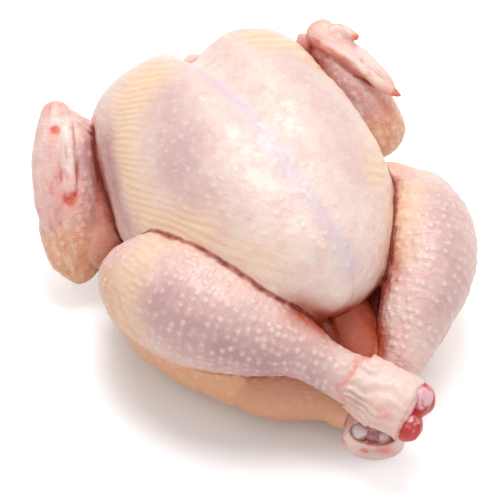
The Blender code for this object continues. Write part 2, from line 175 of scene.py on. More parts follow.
# The breast: two thick muscles over the keel bone, cleft at the neck end, where the
# wishbone holds them apart, and running out to a blunt ridge at the tip of the keel.
# Rows from the neck end: y, half width, height of the widest line, top of the lobes,
# depth below the widest line, depth of the cleft, squareness.
BREAST_ROWS = (
    (0.135, 0.044, 0.070, 0.090, 0.030, 0.012, 2.5),
    (0.123, 0.058, 0.066, 0.105, 0.040, 0.016, 2.6),
    (0.104, 0.064, 0.061, 0.116, 0.046, 0.014, 2.6),
    (0.080, 0.067, 0.058, 0.121, 0.046, 0.009, 2.5),
    (0.050, 0.070, 0.056, 0.123, 0.046, 0.005, 2.4),
    (0.010, 0.066, 0.056, 0.120, 0.044, 0.002, 2.2),
    (-0.020, 0.051, 0.059, 0.110, 0.036, 0.001, 2.0),
    (-0.040, 0.033, 0.064, 0.098, 0.024, 0.000, 1.9),
    (-0.054, 0.015, 0.071, 0.084, 0.010, 0.000, 1.8),
)
BREAST_ENDS = (0.14, 0.10)
CLEFT_HALF_WIDTH = 0.012
BREAST_MESH = (256, 144)
# Near its ends the breast counts as at least this share of its full section
BREAST_LEAST_SECTION = 0.25


def smooth_rows(rows, t):
    """The values at each t from 0 to 1 of a smooth curve through all rows."""
    rows = np.asarray(rows, float)
    steps = np.linalg.norm(np.diff(rows[:, :3], axis=0), axis=1)
    knots = np.concatenate([[0.0], np.cumsum(steps)]) / steps.sum()
    slopes = np.gradient(rows, knots, axis=0)
    i = np.clip(np.searchsorted(knots, t, side="right") - 1, 0, len(rows) - 2)
    width = (knots[i + 1] - knots[i])[:, None]
    u = (np.asarray(t)[:, None] - knots[i][:, None]) / width
    return (
        (2 * u**3 - 3 * u**2 + 1) * rows[i]
        + (u**3 - 2 * u**2 + u) * width * slopes[i]
        + (3 * u**2 - 2 * u**3) * rows[i + 1]
        + (u**3 - u**2) * width * slopes[i + 1]
    )


def length_of(rows):
    """The length of a form along the middles of its rows."""
    return np.linalg.norm(np.diff(np.array(rows)[:, :3], axis=0), axis=1).sum()


def vertices_of(mesh):
    """The places of a mesh's vertices, one row each."""
    co = np.empty(len(mesh.vertices) * 3, np.float32)
    mesh.vertices.foreach_get("co", co)
    return co.reshape(-1, 3).astype(float)


def move_vertices(mesh, co):
    mesh.vertices.foreach_set("co", co.astype(np.float32).ravel())
    mesh.update()


def ball(segments, rings):
    """A unit ball, with each vertex's share of the way from pole to pole and its angle."""
    mesh = bpy.data.meshes.new("form")
    bm = bmesh.new()
    bmesh.ops.create_uvsphere(bm, u_segments=segments, v_segments=rings, radius=1)
    bm.to_mesh(mesh)
    bm.free()
    co = vertices_of(mesh)
    along = np.arccos(np.clip(co[:, 2], -1, 1)) / math.pi
    around = np.arctan2(co[:, 1], co[:, 0])
    return mesh, along, around


def rounding(along, ends):
    """The share of its section that a form keeps near its two rounded ends."""
    near_start = np.clip(1 - along / ends[0], 0, 1)
    near_end = np.clip(1 - (1 - along) / ends[1], 0, 1)
    return np.sqrt(1 - near_start**2) * np.sqrt(1 - near_end**2)


def breast_sections(along):
    """The values of the breast's rows at each share of its length."""
    rows = [(row[0], 0, 0, *row[1:]) for row in BREAST_ROWS]
    y, _, _, *section = smooth_rows(rows, along).T
    return y, *section


def breast_point(along, around):
    """The point of the breast's surface at a share of its length and an angle."""
    y, half_width, middle, top, below, cleft, square = breast_sections(along)
    kept = rounding(along, BREAST_ENDS)
    across, upward = np.cos(around), np.sin(around)
    x = half_width * kept * np.sign(across) * np.abs(across) ** (2 / square)
    rise = kept * np.abs(upward) ** (2 / square)
    z = middle + np.where(upward > 0, (top - middle) * rise, -below * rise)
    z -= np.where(upward > 0, cleft * kept * np.exp(-((x / CLEFT_HALF_WIDTH) ** 2)), 0)
    return np.stack([x, y, z], axis=1)


def breast_form():
    """The breast as one closed form, from a fine ball drawn out to its sections."""
    mesh, along, around = ball(*BREAST_MESH)
    move_vertices(mesh, breast_point(along, around))
    mesh.flip_normals()
    return mesh


def height_over_breast(points):
    """How far each point lies outside the breast's surface, about, and where along and around."""
    first, last = BREAST_ROWS[0][0], BREAST_ROWS[-1][0]
    along = np.clip((first - points[:, 1]) / (first - last), 0, 1)
    _, half_width, middle, top, below, cleft, square = breast_sections(along)
    kept = np.clip(rounding(along, BREAST_ENDS), BREAST_LEAST_SECTION, 1)
    up = points[:, 2] - middle
    dip = np.where(up > 0, cleft * kept * np.exp(-((points[:, 0] / CLEFT_HALF_WIDTH) ** 2)), 0)
    across = np.abs(points[:, 0]) / (half_width * kept)
    rise = np.abs(up + dip) / (np.where(up > 0, top - middle, below) * kept)
    reach = (across**square + rise**square) ** (1 / square)
    past_end = np.maximum(points[:, 1] - first, 0) + np.maximum(last - points[:, 1], 0)
    return (reach - 1) * half_width * kept + past_end, along, np.arctan2(up, points[:, 0])


# The trunk and the legs: thighs folded up along the sides, the right drumstick laid
# over the left one, the belly between them and the tail below. Muscle on bone under
# loose skin. Rows of a limb: x, y, z of its middle, half width and half depth.
CARCASS_ROWS = (
    (0.0, 0.116, 0.040, 0.046, 0.030),
    (0.0, 0.090, 0.040, 0.056, 0.042),
    (0.0, 0.045, 0.040, 0.060, 0.046),
    (0.0, 0.000, 0.032, 0.062, 0.036),
    (0.0, -0.035, 0.024, 0.060, 0.023),
    (0.0, -0.060, 0.021, 0.051, 0.020),
    (0.0, -0.084, 0.018, 0.022, 0.015),
)
BELLY_ROWS = (
    (0.006, -0.026, 0.036, 0.026, 0.024),
    (0.010, -0.048, 0.027, 0.022, 0.021),
    (0.012, -0.068, 0.021, 0.018, 0.018),
    (0.010, -0.082, 0.018, 0.010, 0.010),
)
OVER_THIGH_ROWS = (
    (-0.030, -0.046, 0.023, 0.020, 0.020),
    (-0.044, -0.030, 0.025, 0.022, 0.023),
    (-0.056, -0.006, 0.029, 0.027, 0.028),
    (-0.062, 0.026, 0.034, 0.029, 0.030),
    (-0.060, 0.052, 0.038, 0.024, 0.024),
)
UNDER_THIGH_ROWS = (
    (0.036, -0.050, 0.022, 0.020, 0.020),
    (0.053, -0.037, 0.024, 0.0225, 0.022),
    (0.058, -0.006, 0.029, 0.028, 0.029),
    (0.066, 0.020, 0.038, 0.030, 0.032),
    (0.070, 0.040, 0.038, 0.022, 0.024),
)
OVER_DRUMSTICK_ROWS = (
    (-0.0690, 0.0400, 0.0490, 0.0180, 0.0200),
    (-0.0735, 0.0220, 0.0530, 0.0270, 0.0280),
    (-0.0655, -0.0008, 0.0580, 0.0310, 0.0310),
    (-0.0540, -0.0249, 0.0600, 0.0290, 0.0290),
    (-0.0382, -0.0441, 0.0580, 0.0220, 0.0220),
    (-0.0246, -0.0574, 0.0550, 0.0160, 0.0160),
    (-0.0159, -0.0704, 0.0510, 0.0122, 0.0122),
    (-0.0083, -0.0807, 0.0480, 0.0126, 0.0116),
    (0.0004, -0.0902, 0.0450, 0.0150, 0.0124),
    (0.0065, -0.1014, 0.0430, 0.0174, 0.0132),
    (0.0147, -0.1127, 0.0408, 0.0180, 0.0138),
)
OVER_HOCK_UP = (-0.393, -0.286, 0.874)
UNDER_DRUMSTICK_ROWS = (
    (0.0700, 0.0400, 0.0420, 0.0150, 0.0125),
    (0.0765, 0.0200, 0.0465, 0.0205, 0.0180),
    (0.0755, -0.0010, 0.0490, 0.0248, 0.0250),
    (0.0675, -0.0215, 0.0510, 0.0282, 0.0270),
    (0.0565, -0.0430, 0.0485, 0.0235, 0.0230),
    (0.0413, -0.0586, 0.0430, 0.0180, 0.0180),
    (0.0288, -0.0700, 0.0350, 0.0135, 0.0135),
    (0.0199, -0.0760, 0.0290, 0.0120, 0.0120),
    (0.0108, -0.0835, 0.0235, 0.0128, 0.0124),
    (0.0025, -0.0935, 0.0180, 0.0150, 0.0140),
    (-0.0055, -0.1060, 0.0155, 0.0162, 0.0150),
)
TAIL_ROWS = (
    (0.002, -0.066, 0.018, 0.024, 0.015),
    (0.003, -0.082, 0.019, 0.018, 0.012),
    (0.003, -0.092, 0.021, 0.010, 0.008),
)
DRUMSTICK_ENDS = (0.2, 0.03)
SOFT_ENDS = (0.15, 0.15)
UPRIGHT = (0, 0, 1)
# Each limb: its rows, the share of its length that each end rounds over, its up side
LIMBS = {
    "carcass": (CARCASS_ROWS, SOFT_ENDS, UPRIGHT),
    "belly": (BELLY_ROWS, SOFT_ENDS, UPRIGHT),
    "over_thigh": (OVER_THIGH_ROWS, SOFT_ENDS, UPRIGHT),
    "under_thigh": (UNDER_THIGH_ROWS, SOFT_ENDS, UPRIGHT),
    "over_drumstick": (OVER_DRUMSTICK_ROWS, DRUMSTICK_ENDS, OVER_HOCK_UP),
    "under_drumstick": (UNDER_DRUMSTICK_ROWS, DRUMSTICK_ENDS, UPRIGHT),
    "tail": (TAIL_ROWS, SOFT_ENDS, UPRIGHT),
}
TANGENT_STEP = 0.01
# How finely a limb's middle line is searched for the place nearest to a point, and the
# least share of its full section that a limb counts as near its ends
LIMB_STATIONS = 81
LIMB_LEAST_SECTION = 0.3


def limb_sections(rows, up, along):
    """The middle, half sizes and the side and depth directions of a limb's sections."""
    places = smooth_rows(rows, along)
    ahead = smooth_rows(rows, np.clip(along + TANGENT_STEP, 0, 1))
    behind = smooth_rows(rows, np.clip(along - TANGENT_STEP, 0, 1))
    tangent = ahead[:, :3] - behind[:, :3]
    tangent /= np.linalg.norm(tangent, axis=1)[:, None]
    side = np.cross(tangent, np.asarray(up, float))
    side /= np.linalg.norm(side, axis=1)[:, None]
    return places, tangent, side, np.cross(side, tangent)


def limb_point(limb, along, around):
    """The point of a limb's surface at a share of its length and an angle."""
    rows, ends, up = limb
    places, _, side, depth = limb_sections(rows, up, along)
    kept = rounding(along, ends)
    return (
        places[:, :3]
        + side * (kept * places[:, 3] * np.cos(around))[:, None]
        + depth * (kept * places[:, 4] * np.sin(around))[:, None]
    )


def limb_form(limb, segments=72, rings=90):
    """A ball drawn out along the rows, with an oval section."""
    mesh, along, around = ball(segments, rings)
    move_vertices(mesh, limb_point(limb, along, around))
    return mesh


def height_over_limb(points, limb):
    """How far each point lies outside a limb's own surface, about, and where along and around."""
    rows, ends, up = limb
    along = np.linspace(0, 1, LIMB_STATIONS)
    middle = smooth_rows(rows, along)[:, :3]
    far = (points**2).sum(1)[:, None] - 2 * points @ middle.T + (middle**2).sum(1)[None, :]
    nearest = far.argmin(axis=1)
    tangent = limb_sections(rows, up, along)[1]
    away = points - middle[nearest]
    shift = (away * tangent[nearest]).sum(1) / length_of(middle)
    step = 1 / (LIMB_STATIONS - 1)
    t = np.clip(along[nearest] + np.clip(shift, -step, step), 0, 1)
    places, tangent, side, depth = limb_sections(rows, up, t)
    away = points - places[:, :3]
    across, upward = (away * side).sum(1), (away * depth).sum(1)
    kept = np.clip(rounding(t, ends), LIMB_LEAST_SECTION, 1)
    half_width, half_depth = places[:, 3] * kept, places[:, 4] * kept
    reach = np.sqrt((across / half_width) ** 2 + (upward / half_depth) ** 2)
    past_end = np.abs((away * tangent).sum(1))
    height = (reach - 1) * np.minimum(half_width, half_depth) + past_end
    return height, t, np.arctan2(upward / half_depth, across / half_width)


# The wings: each is folded, with the arm along the side and the cut last joint and
# the thumb laid back on it. A web of skin joins the wrist to the shoulder.
WINGS = {
    "right_arm": (
        (-0.0709, 0.1249, 0.0810, 0.0070, 0.0070),
        (-0.0729, 0.1108, 0.0720, 0.0120, 0.0110),
        (-0.0773, 0.1020, 0.0610, 0.0145, 0.0130),
        (-0.0825, 0.0924, 0.0510, 0.0170, 0.0140),
        (-0.0845, 0.0838, 0.0400, 0.0195, 0.0150),
        (-0.0879, 0.0760, 0.0290, 0.0170, 0.0140),
        (-0.0893, 0.0698, 0.0200, 0.0125, 0.0110),
        (-0.0911, 0.0650, 0.0130, 0.0070, 0.0080),
    ),
    "right_upper_arm": (
        (-0.0540, 0.1080, 0.0560, 0.0120, 0.0150),
        (-0.0650, 0.0960, 0.0470, 0.0140, 0.0160),
        (-0.0720, 0.0830, 0.0370, 0.0150, 0.0160),
        (-0.0780, 0.0710, 0.0250, 0.0150, 0.0150),
        (-0.0790, 0.0640, 0.0190, 0.0100, 0.0110),
    ),
    "right_hand": (
        (-0.0729, 0.1278, 0.0845, 0.0080, 0.0065),
        (-0.0772, 0.1206, 0.0830, 0.0085, 0.0075),
        (-0.0828, 0.1123, 0.0780, 0.0098, 0.0080),
        (-0.0880, 0.1038, 0.0715, 0.0100, 0.0080),
        (-0.0922, 0.0950, 0.0635, 0.0100, 0.0080),
        (-0.0950, 0.0871, 0.0540, 0.0095, 0.0075),
        (-0.0964, 0.0789, 0.0410, 0.0070, 0.0060),
    ),
    "right_finger": (
        (-0.0740, 0.1172, 0.0846, 0.0045, 0.0040),
        (-0.0781, 0.1043, 0.0801, 0.0040, 0.0040),
        (-0.0825, 0.0925, 0.0719, 0.0036, 0.0036),
        (-0.0870, 0.0821, 0.0618, 0.0034, 0.0032),
    ),
    "right_thumb": (
        (-0.0776, 0.1141, 0.0852, 0.0040, 0.0040),
        (-0.0820, 0.1102, 0.0835, 0.0032, 0.0030),
    ),
    "right_web": (
        (-0.0709, 0.1134, 0.0840, 0.0050, 0.0030),
        (-0.0665, 0.1066, 0.0760, 0.0085, 0.0030),
        (-0.0590, 0.1003, 0.0690, 0.0115, 0.0035),
    ),
    "left_arm": (
        (0.0765, 0.1130, 0.0880, 0.0110, 0.0110),
        (0.0790, 0.1010, 0.0770, 0.0135, 0.0130),
        (0.0820, 0.0890, 0.0660, 0.0160, 0.0140),
        (0.0855, 0.0790, 0.0540, 0.0170, 0.0150),
        (0.0890, 0.0700, 0.0420, 0.0168, 0.0150),
        (0.0930, 0.0620, 0.0325, 0.0125, 0.0120),
    ),
    "left_hand": (
        (0.0719, 0.1155, 0.0930, 0.0080, 0.0060),
        (0.0734, 0.1077, 0.0915, 0.0080, 0.0070),
        (0.0795, 0.0970, 0.0877, 0.0070, 0.0065),
        (0.0871, 0.0869, 0.0828, 0.0062, 0.0055),
        (0.0933, 0.0775, 0.0772, 0.0048, 0.0042),
        (0.0984, 0.0694, 0.0716, 0.0028, 0.0024),
    ),
    "left_finger": (
        (0.0685, 0.1033, 0.0921, 0.0034, 0.0034),
        (0.0770, 0.0917, 0.0881, 0.0034, 0.0034),
        (0.0848, 0.0809, 0.0820, 0.0032, 0.0030),
        (0.0916, 0.0728, 0.0760, 0.0030, 0.0028),
        (0.1000, 0.0650, 0.0705, 0.0018, 0.0016),
    ),
    "left_thumb": (
        (0.0743, 0.1025, 0.0940, 0.0042, 0.0040),
        (0.0807, 0.1033, 0.0955, 0.0036, 0.0032),
        (0.0845, 0.0978, 0.0960, 0.0029, 0.0027),
        (0.0870, 0.0921, 0.0950, 0.0022, 0.0021),
    ),
    "left_web": (
        (0.0695, 0.1112, 0.0880, 0.0080, 0.0040),
        (0.0647, 0.1093, 0.0820, 0.0070, 0.0035),
        (0.0580, 0.1070, 0.0780, 0.0080, 0.0040),
    ),
}
WING_ENDS = (0.12, 0.12)
WING_UP = (0, -0.6, 0.7)
for wing_part, wing_rows in WINGS.items():
    LIMBS[wing_part] = (wing_rows, WING_ENDS, WING_UP)


# The skin of the neck: a loose flap folded down over the front, and the small lip
# that it leaves in the cleft of the breast.
NECK_FLAP_ROWS = (
    (0.000, 0.106, 0.074, 0.034, 0.014),
    (0.000, 0.124, 0.062, 0.036, 0.012),
    (0.002, 0.130, 0.044, 0.034, 0.009),
    (0.003, 0.125, 0.026, 0.030, 0.007),
    (0.002, 0.110, 0.013, 0.024, 0.007),
)
NECK_LIP_ROWS = (
    (-0.002, 0.112, 0.084, 0.007, 0.005),
    (0.004, 0.121, 0.087, 0.007, 0.004),
    (0.010, 0.124, 0.083, 0.005, 0.004),
)
NECK_FLAP_UP = (0, 1, 0.3)
LIMBS["neck_flap"] = (NECK_FLAP_ROWS, SOFT_ENDS, NECK_FLAP_UP)
LIMBS["neck_lip"] = (NECK_LIP_ROWS, SOFT_ENDS, UPRIGHT)


# The skin: one moist, half-clear sheet that lies over all of it. It is drawn from the
# joined forms, cut flat where the bird lies, and keeps what shows at this size.
SKIN_VOXEL = 0.00105
SKIN_SMOOTHING = 4
SKIN_TRIANGLES = 196000
REST_CUT_Z = 0.0


def applied(obj):
    """The object with its modifiers made part of its mesh."""
    graph = bpy.context.evaluated_depsgraph_get()
    mesh = bpy.data.meshes.new_from_object(obj.evaluated_get(graph))
    obj.modifiers.clear()
    old = obj.data
    obj.data = mesh
    bpy.data.meshes.remove(old)
    return obj


def new_object(name, mesh):
    obj = bpy.data.objects.new(name, mesh)
    bpy.context.scene.collection.objects.link(obj)
    return obj


def joined(name, meshes, voxel, smoothing):
    """The forms as one closed skin: united, remade with even faces and smoothed."""
    body, *others = meshes
    obj = new_object(name, body)
    forms = bpy.data.collections.new("forms")
    for mesh in others:
        forms.objects.link(bpy.data.objects.new("form", mesh))
    union = obj.modifiers.new("Union", "BOOLEAN")
    union.operation = "UNION"
    union.operand_type = "COLLECTION"
    union.collection = forms
    union.solver = "MANIFOLD"
    applied(obj)
    for form in list(forms.objects):
        bpy.data.objects.remove(form)
    bpy.data.collections.remove(forms)
    remesh = obj.modifiers.new("Even faces", "REMESH")
    remesh.mode = "VOXEL"
    remesh.voxel_size = voxel
    smooth = obj.modifiers.new("Soften", "SMOOTH")
    smooth.factor = 0.5
    smooth.iterations = smoothing
    return outer_skin(applied(obj))


def outer_skin(obj):
    """Keeps the outside surface, without the pockets that the joined forms close in."""
    bm = bmesh.new()
    bm.from_mesh(obj.data)
    start = max(bm.verts, key=lambda v: v.co.z)
    reached = {start}
    front = [start]
    while front:
        vert = front.pop()
        for edge in vert.link_edges:
            other = edge.other_vert(vert)
            if other not in reached:
                reached.add(other)
                front.append(other)
    inner = [v for v in bm.verts if v not in reached]
    bmesh.ops.delete(bm, geom=inner, context="VERTS")
    bm.to_mesh(obj.data)
    bm.free()
    return obj


def flattened_below(obj, level):
    """The object cut off flat at a height, and closed there."""
    bm = bmesh.new()
    bm.from_mesh(obj.data)
    cut = bmesh.ops.bisect_plane(
        bm,
        geom=bm.verts[:] + bm.edges[:] + bm.faces[:],
        plane_co=(0, 0, level),
        plane_no=(0, 0, -1),
        clear_outer=True,
    )
    edges = [e for e in cut["geom_cut"] if isinstance(e, bmesh.types.BMEdge)]
    bmesh.ops.holes_fill(bm, edges=edges)
    bmesh.ops.triangulate(bm, faces=[f for f in bm.faces if len(f.verts) > 3])
    bm.to_mesh(obj.data)
    bm.free()
    return obj


def thinned(obj, triangles):
    """The object with no more than about the given number of triangles."""
    obj.data.calc_loop_triangles()
    thin = obj.modifiers.new("Fewer faces", "DECIMATE")
    thin.ratio = min(1.0, triangles / len(obj.data.loop_triangles))
    return applied(obj)


skin = joined(
    "skin",
    [breast_form(), *(limb_form(limb) for limb in LIMBS.values())],
    SKIN_VOXEL,
    SKIN_SMOOTHING,
)


# The relief of the skin: the creases between the parts, the folds at the wing and the
# knee, the rows of pleats over the fat, the loose cuff at the right hock and the
# hollows of the cut hocks. All of it is pressed into the sheet or raised from it.
# Each crease or ridge: its path, how deep or high it is, and its half width.
CREASES = (
    # The fold of the thigh's skin around the right knee
    (
        ((-0.0952, 0.0042, 0.0706), (-0.0961, -0.0022, 0.0661), (-0.0946, -0.0106, 0.0588),
         (-0.0900, -0.0181, 0.0489), (-0.0794, -0.0181, 0.0303), (-0.0712, -0.0307, 0.0315)),
        0.0010, 0.0012,
    ),
    # The crease of the belly, between the legs
    (((0.000, -0.044, 0.053), (-0.001, -0.056, 0.047), (0.001, -0.068, 0.040)), 0.0022, 0.0020),
    # Two folds below the last joint of the right wing
    (
        ((-0.0984, 0.0825, 0.0583), (-0.0990, 0.0774, 0.0466), (-0.0992, 0.0703, 0.0367),
         (-0.0967, 0.0641, 0.0260)),
        0.0015, 0.0013,
    ),
    (
        ((-0.0954, 0.0805, 0.0558), (-0.0953, 0.0742, 0.0465), (-0.0946, 0.0675, 0.0372),
         (-0.0928, 0.0623, 0.0275)),
        0.0015, 0.0013,
    ),
    # The step beside the bone in the last joint of the right wing
    (
        ((-0.0706, 0.1105, 0.0846), (-0.0742, 0.1027, 0.0813), (-0.0775, 0.0957, 0.0765),
         (-0.0796, 0.0902, 0.0712), (-0.0815, 0.0851, 0.0656)),
        0.0009, 0.0011,
    ),
    # The groove between the last joint and the arm of the left wing
    (
        ((0.0679, 0.1018, 0.0928), (0.0716, 0.0948, 0.0913), (0.0768, 0.0870, 0.0870),
         (0.0822, 0.0797, 0.0813), (0.0883, 0.0736, 0.0745)),
        0.0005, 0.0012,
    ),
    # The edge right of the ridge at the tip of the breast
    (((0.013, -0.038, 0.094), (0.014, -0.048, 0.080), (0.013, -0.051, 0.066)), 0.0010, 0.0022),
)
RIDGES = (
    # The keel bone under the skin
    (((0.002, -0.012, 0.113), (0.006, -0.033, 0.102), (0.009, -0.047, 0.084)), 0.0012, 0.0050),
)
# The cuff: where its edge lies, the way it runs, its size, and the step and waves of its edge
CUFF_PLACE = Vector((-0.0100, -0.0880, 0.0460))
CUFF_ALONG = Vector((0.62, -0.77, -0.16)).normalized()
CUFF_REACH = 0.026
CUFF_RISE = 0.0014
CUFF_WAVE = 0.0022
CUFF_STEP = 0.0010
CUFF_FADE = 0.020
# The width of the strip before the cuff's edge that takes its painted shadow
CUFF_SHADOW_LIP = 0.0022
CUFF_UNDERSIDE = -0.013
CUFF_WRINKLES = 13
CUFF_WRINKLE_HEIGHT = 0.00105
CUFF_WRINKLE_WANDER = 2.0
CUFF_WRINKLE_TWIST = 60
# The waves of the cuff's edge: how many go round the leg, how high, and where they start
CUFF_EDGE_WAVES = ((2, 1.0, 0.6), (5, 0.4, 0.0), (11, 0.3, 0.0))
# The way that each cut hock faces, and the line on which the right one's knuckles lie
OVER_HOCK_FACING = (0.58, -0.80, -0.17)
OVER_KNUCKLE_LINE = (0.708, 0.516, 0.485)
UNDER_HOCK_FACING = (-0.40, -0.66, 0.64)
# Each hollow: its middle, the way it faces, its long side, its two radii and its depth
HOLLOWS = (
    ((0.0154, -0.1139, 0.0414), OVER_HOCK_FACING, OVER_KNUCKLE_LINE, 0.0160, 0.0125, 0.0030),
    ((-0.0028, -0.1010, 0.0232), UNDER_HOCK_FACING, (0.80, -0.60, -0.05), 0.0116, 0.0056, 0.0046),
)
HOLLOW_REACH = 0.014

# The band of fat down each side of the breast: its middle line on the right side, and
# its pleats, which fan out from a point beside the bird
FAT_BAND = (
    (-0.0325, 0.0973, 0.1140),
    (-0.0511, 0.0883, 0.1045),
    (-0.0605, 0.0721, 0.0940),
    (-0.0658, 0.0448, 0.0846),
    (-0.0626, 0.0211, 0.0870),
    (-0.0503, -0.0003, 0.0943),
)
FAT_BAND_HALF_WIDTH = 0.0135
PLEAT_FAN = Vector((-0.190, 0.147, 0.121))
PLEAT_FAN_RADIUS = 0.16
PLEAT_DOWN = Vector((0.3206, 0.6573, 0.6820))
PLEAT_ACROSS = Vector((0.8988, -0.4384, 0.0))
PLEAT_SPACING = 0.0034
PLEAT_HEIGHT = 0.00022
PLEAT_WAVE = 0.35
BEAD_LENGTH = 0.0060

# Wrinkles in the skin: how high, how far apart, and how long for their breadth. On the
# breast they are lower and run as chevrons.
RING_WRINKLE_HEIGHT = 0.00009
RING_WRINKLE_SPACING = 0.0036
RING_WRINKLE_DRAWN = 0.40
DIMPLE_SHARE = 0.6
DIMPLE_SPACING = 0.0046
BREAST_WRINKLES = 0.45
# The height of the breast's top, how much the way down from it counts as outward, and
# how much a place's height counts as the second way across
BREAST_TOP = 0.12
FALL_OUTWARD = 0.6
HEIGHT_ACROSS = 0.3
WEB_WRINKLE_HEIGHT = 0.00050
WEB_WRINKLE_SPACING = 0.0034
CHEVRON = (0.61, 0.79)
# Slow swells of the whole skin: height, size and seed
SWELLS = ((0.00035, 0.022, 3), (0.00012, 0.008, 4))
# How far a form's share of the skin reaches past where it meets its neighbour
SHARE_REACH = 0.0016


def normals_of(mesh):
    normals = np.empty(len(mesh.vertices) * 3, np.float32)
    mesh.vertices.foreach_get("normal", normals)
    return normals.reshape(-1, 3).astype(float)


def from_path(points, path):
    """Each point's distance from a path."""
    nearest = np.full(len(points), np.inf)
    for start, end in zip(path[:-1], path[1:]):
        start, end = np.array(start), np.array(end)
        share = np.clip((points - start) @ (end - start) / ((end - start) @ (end - start)), 0, 1)
        gap = np.linalg.norm(points - start - share[:, None] * (end - start), axis=1)
        nearest = np.minimum(nearest, gap)
    return nearest


def band(points, path, half_width):
    """1 on a path, fading over its half width."""
    return np.exp(-((from_path(points, path) / half_width) ** 2))


def smooth_step(x):
    x = np.clip(x, 0, 1)
    return x * x * (3 - 2 * x)


def unevenness(points, size, seed, waves=9):
    """A smooth, irregular field, mostly from -1 to 1, with swells of about the given size."""
    random = np.random.default_rng(seed)
    field = np.zeros(len(points))
    for _ in range(waves):
        direction = random.normal(size=3)
        direction *= 2 * math.pi / (size * random.uniform(0.8, 1.6)) / np.linalg.norm(direction)
        field += np.sin(points @ direction + random.uniform(0, 2 * math.pi))
    return field / math.sqrt(waves / 2) * 0.6


def mirrored(path):
    return tuple((-x, y, z) for x, y, z in path)


def where_on_bird(points):
    """For each form: how much a point belongs to it, and its place along and around it."""
    found = {"breast": height_over_breast(points)}
    for name, limb in LIMBS.items():
        found[name] = height_over_limb(points, limb)
    heights = np.stack([found[name][0] for name in found])
    closeness = np.exp(-(heights - heights.min(axis=0)) / SHARE_REACH)
    closeness /= closeness.sum(axis=0)
    return {
        name: {"share": closeness[i], "along": found[name][1], "around": found[name][2]}
        for i, name in enumerate(found)
    }


def flow_over(owners, points):
    """Places on the skin, told along each form, then across it twice, for its wrinkles."""
    names = list(owners)
    shares = np.stack([owners[name]["share"] for name in names])
    best = shares.argmax(axis=0)
    flow = np.zeros_like(points)
    for i, name in enumerate(names):
        here = best == i
        if name == "breast":
            outward = np.abs(points[here, 0]) + FALL_OUTWARD * (BREAST_TOP - points[here, 2])
            lengthwise = CHEVRON[0] * points[here, 1] - CHEVRON[1] * outward
            sideways = CHEVRON[1] * points[here, 1] + CHEVRON[0] * outward
            flow[here] = np.stack([lengthwise, sideways, HEIGHT_ACROSS * points[here, 2]], axis=1)
        else:
            rows = np.array(LIMBS[name][0])
            radius = rows[:, 3].mean()
            lengthwise = owners[name]["along"][here] * length_of(rows)
            turn = owners[name]["around"][here]
            flow[here] = np.stack([lengthwise, radius * np.cos(turn), radius * np.sin(turn)], axis=1)
    return flow, np.clip(2 * shares.max(axis=0) - 1, 0, 1)


def fat_pleats(points):
    """Rows of low ridges that fan down the band of fat, each broken into beads."""
    away = points - np.array(PLEAT_FAN)
    angle = np.arctan2(-(away @ np.array(PLEAT_DOWN)), away @ np.array(PLEAT_ACROSS))
    wave = PLEAT_WAVE * unevenness(points, size=0.020, seed=6)
    outward = np.linalg.norm(away, axis=1) / BEAD_LENGTH
    row = angle * PLEAT_FAN_RADIUS / PLEAT_SPACING + wave
    bead = 0.5 + 0.5 * np.cos(2 * math.pi * (outward + 0.5 * np.floor(row + 0.5)) + 3 * wave)
    return np.cos(2 * math.pi * row) * (0.45 + 0.55 * bead)


def wrinkles(points):
    """Fine rings round the limbs, chevrons over the breast, dimples, and pleats on the webs."""
    owners = where_on_bird(points)
    flow, sure = flow_over(owners, points)
    drawn = flow * np.array([1, RING_WRINKLE_DRAWN, RING_WRINKLE_DRAWN])
    kept = sure * (1 - (1 - BREAST_WRINKLES) * owners["breast"]["share"])
    rise = RING_WRINKLE_HEIGHT * kept * unevenness(drawn, RING_WRINKLE_SPACING, seed=21, waves=24)
    rise += DIMPLE_SHARE * RING_WRINKLE_HEIGHT * unevenness(points, DIMPLE_SPACING, seed=22, waves=16)
    across = flow[:, 1] + 0.25 * flow[:, 2]
    sway = 2 * unevenness(points, size=0.010, seed=23)
    pleat = np.cos(2 * math.pi * across / WEB_WRINKLE_SPACING + sway)
    for name in ("right_web", "left_web"):
        rise += WEB_WRINKLE_HEIGHT * owners[name]["share"] * pleat
    return rise


def cuff_shape(points):
    """The cover of the loose cuff, how it thins out, its crinkles and the strip before it, where the edge's
    shadow is painted.
    """
    along = np.array(CUFF_ALONG)
    away = points - np.array(CUFF_PLACE)
    past = away @ along
    radial = away - past[:, None] * along
    turn = np.arctan2(radial[:, 2], radial[:, 0])
    edge = CUFF_WAVE * sum(high * np.sin(count * turn + start) for count, high, start in CUFF_EDGE_WAVES)
    near = (np.linalg.norm(radial, axis=1) < CUFF_REACH) & (radial[:, 2] > CUFF_UNDERSIDE)
    cover = near * smooth_step((past - edge) / CUFF_STEP)
    fold = np.exp(-np.clip(past, 0, None) / CUFF_FADE)
    wander = CUFF_WRINKLE_WANDER * unevenness(points, size=0.012, seed=9)
    crinkle = np.cos(CUFF_WRINKLES * turn + wander + CUFF_WRINKLE_TWIST * past)
    # The strip just before the edge, where the cuff's shadow is painted
    lip = near * np.exp(-(((past - edge + CUFF_SHADOW_LIP) / CUFF_SHADOW_LIP) ** 2))
    return cover, fold, fold * crinkle, lip


def in_hollow(points, middle, out, long_side, long_radius, short_radius):
    """A hollow's direction, and each point's height over its rim and shares of its radii."""
    out = np.array(out) / np.linalg.norm(out)
    first = np.array(long_side) - out * (np.array(long_side) @ out)
    first /= np.linalg.norm(first)
    away = points - np.array(middle)
    return out, away @ out, away @ first / long_radius, away @ np.cross(out, first) / short_radius


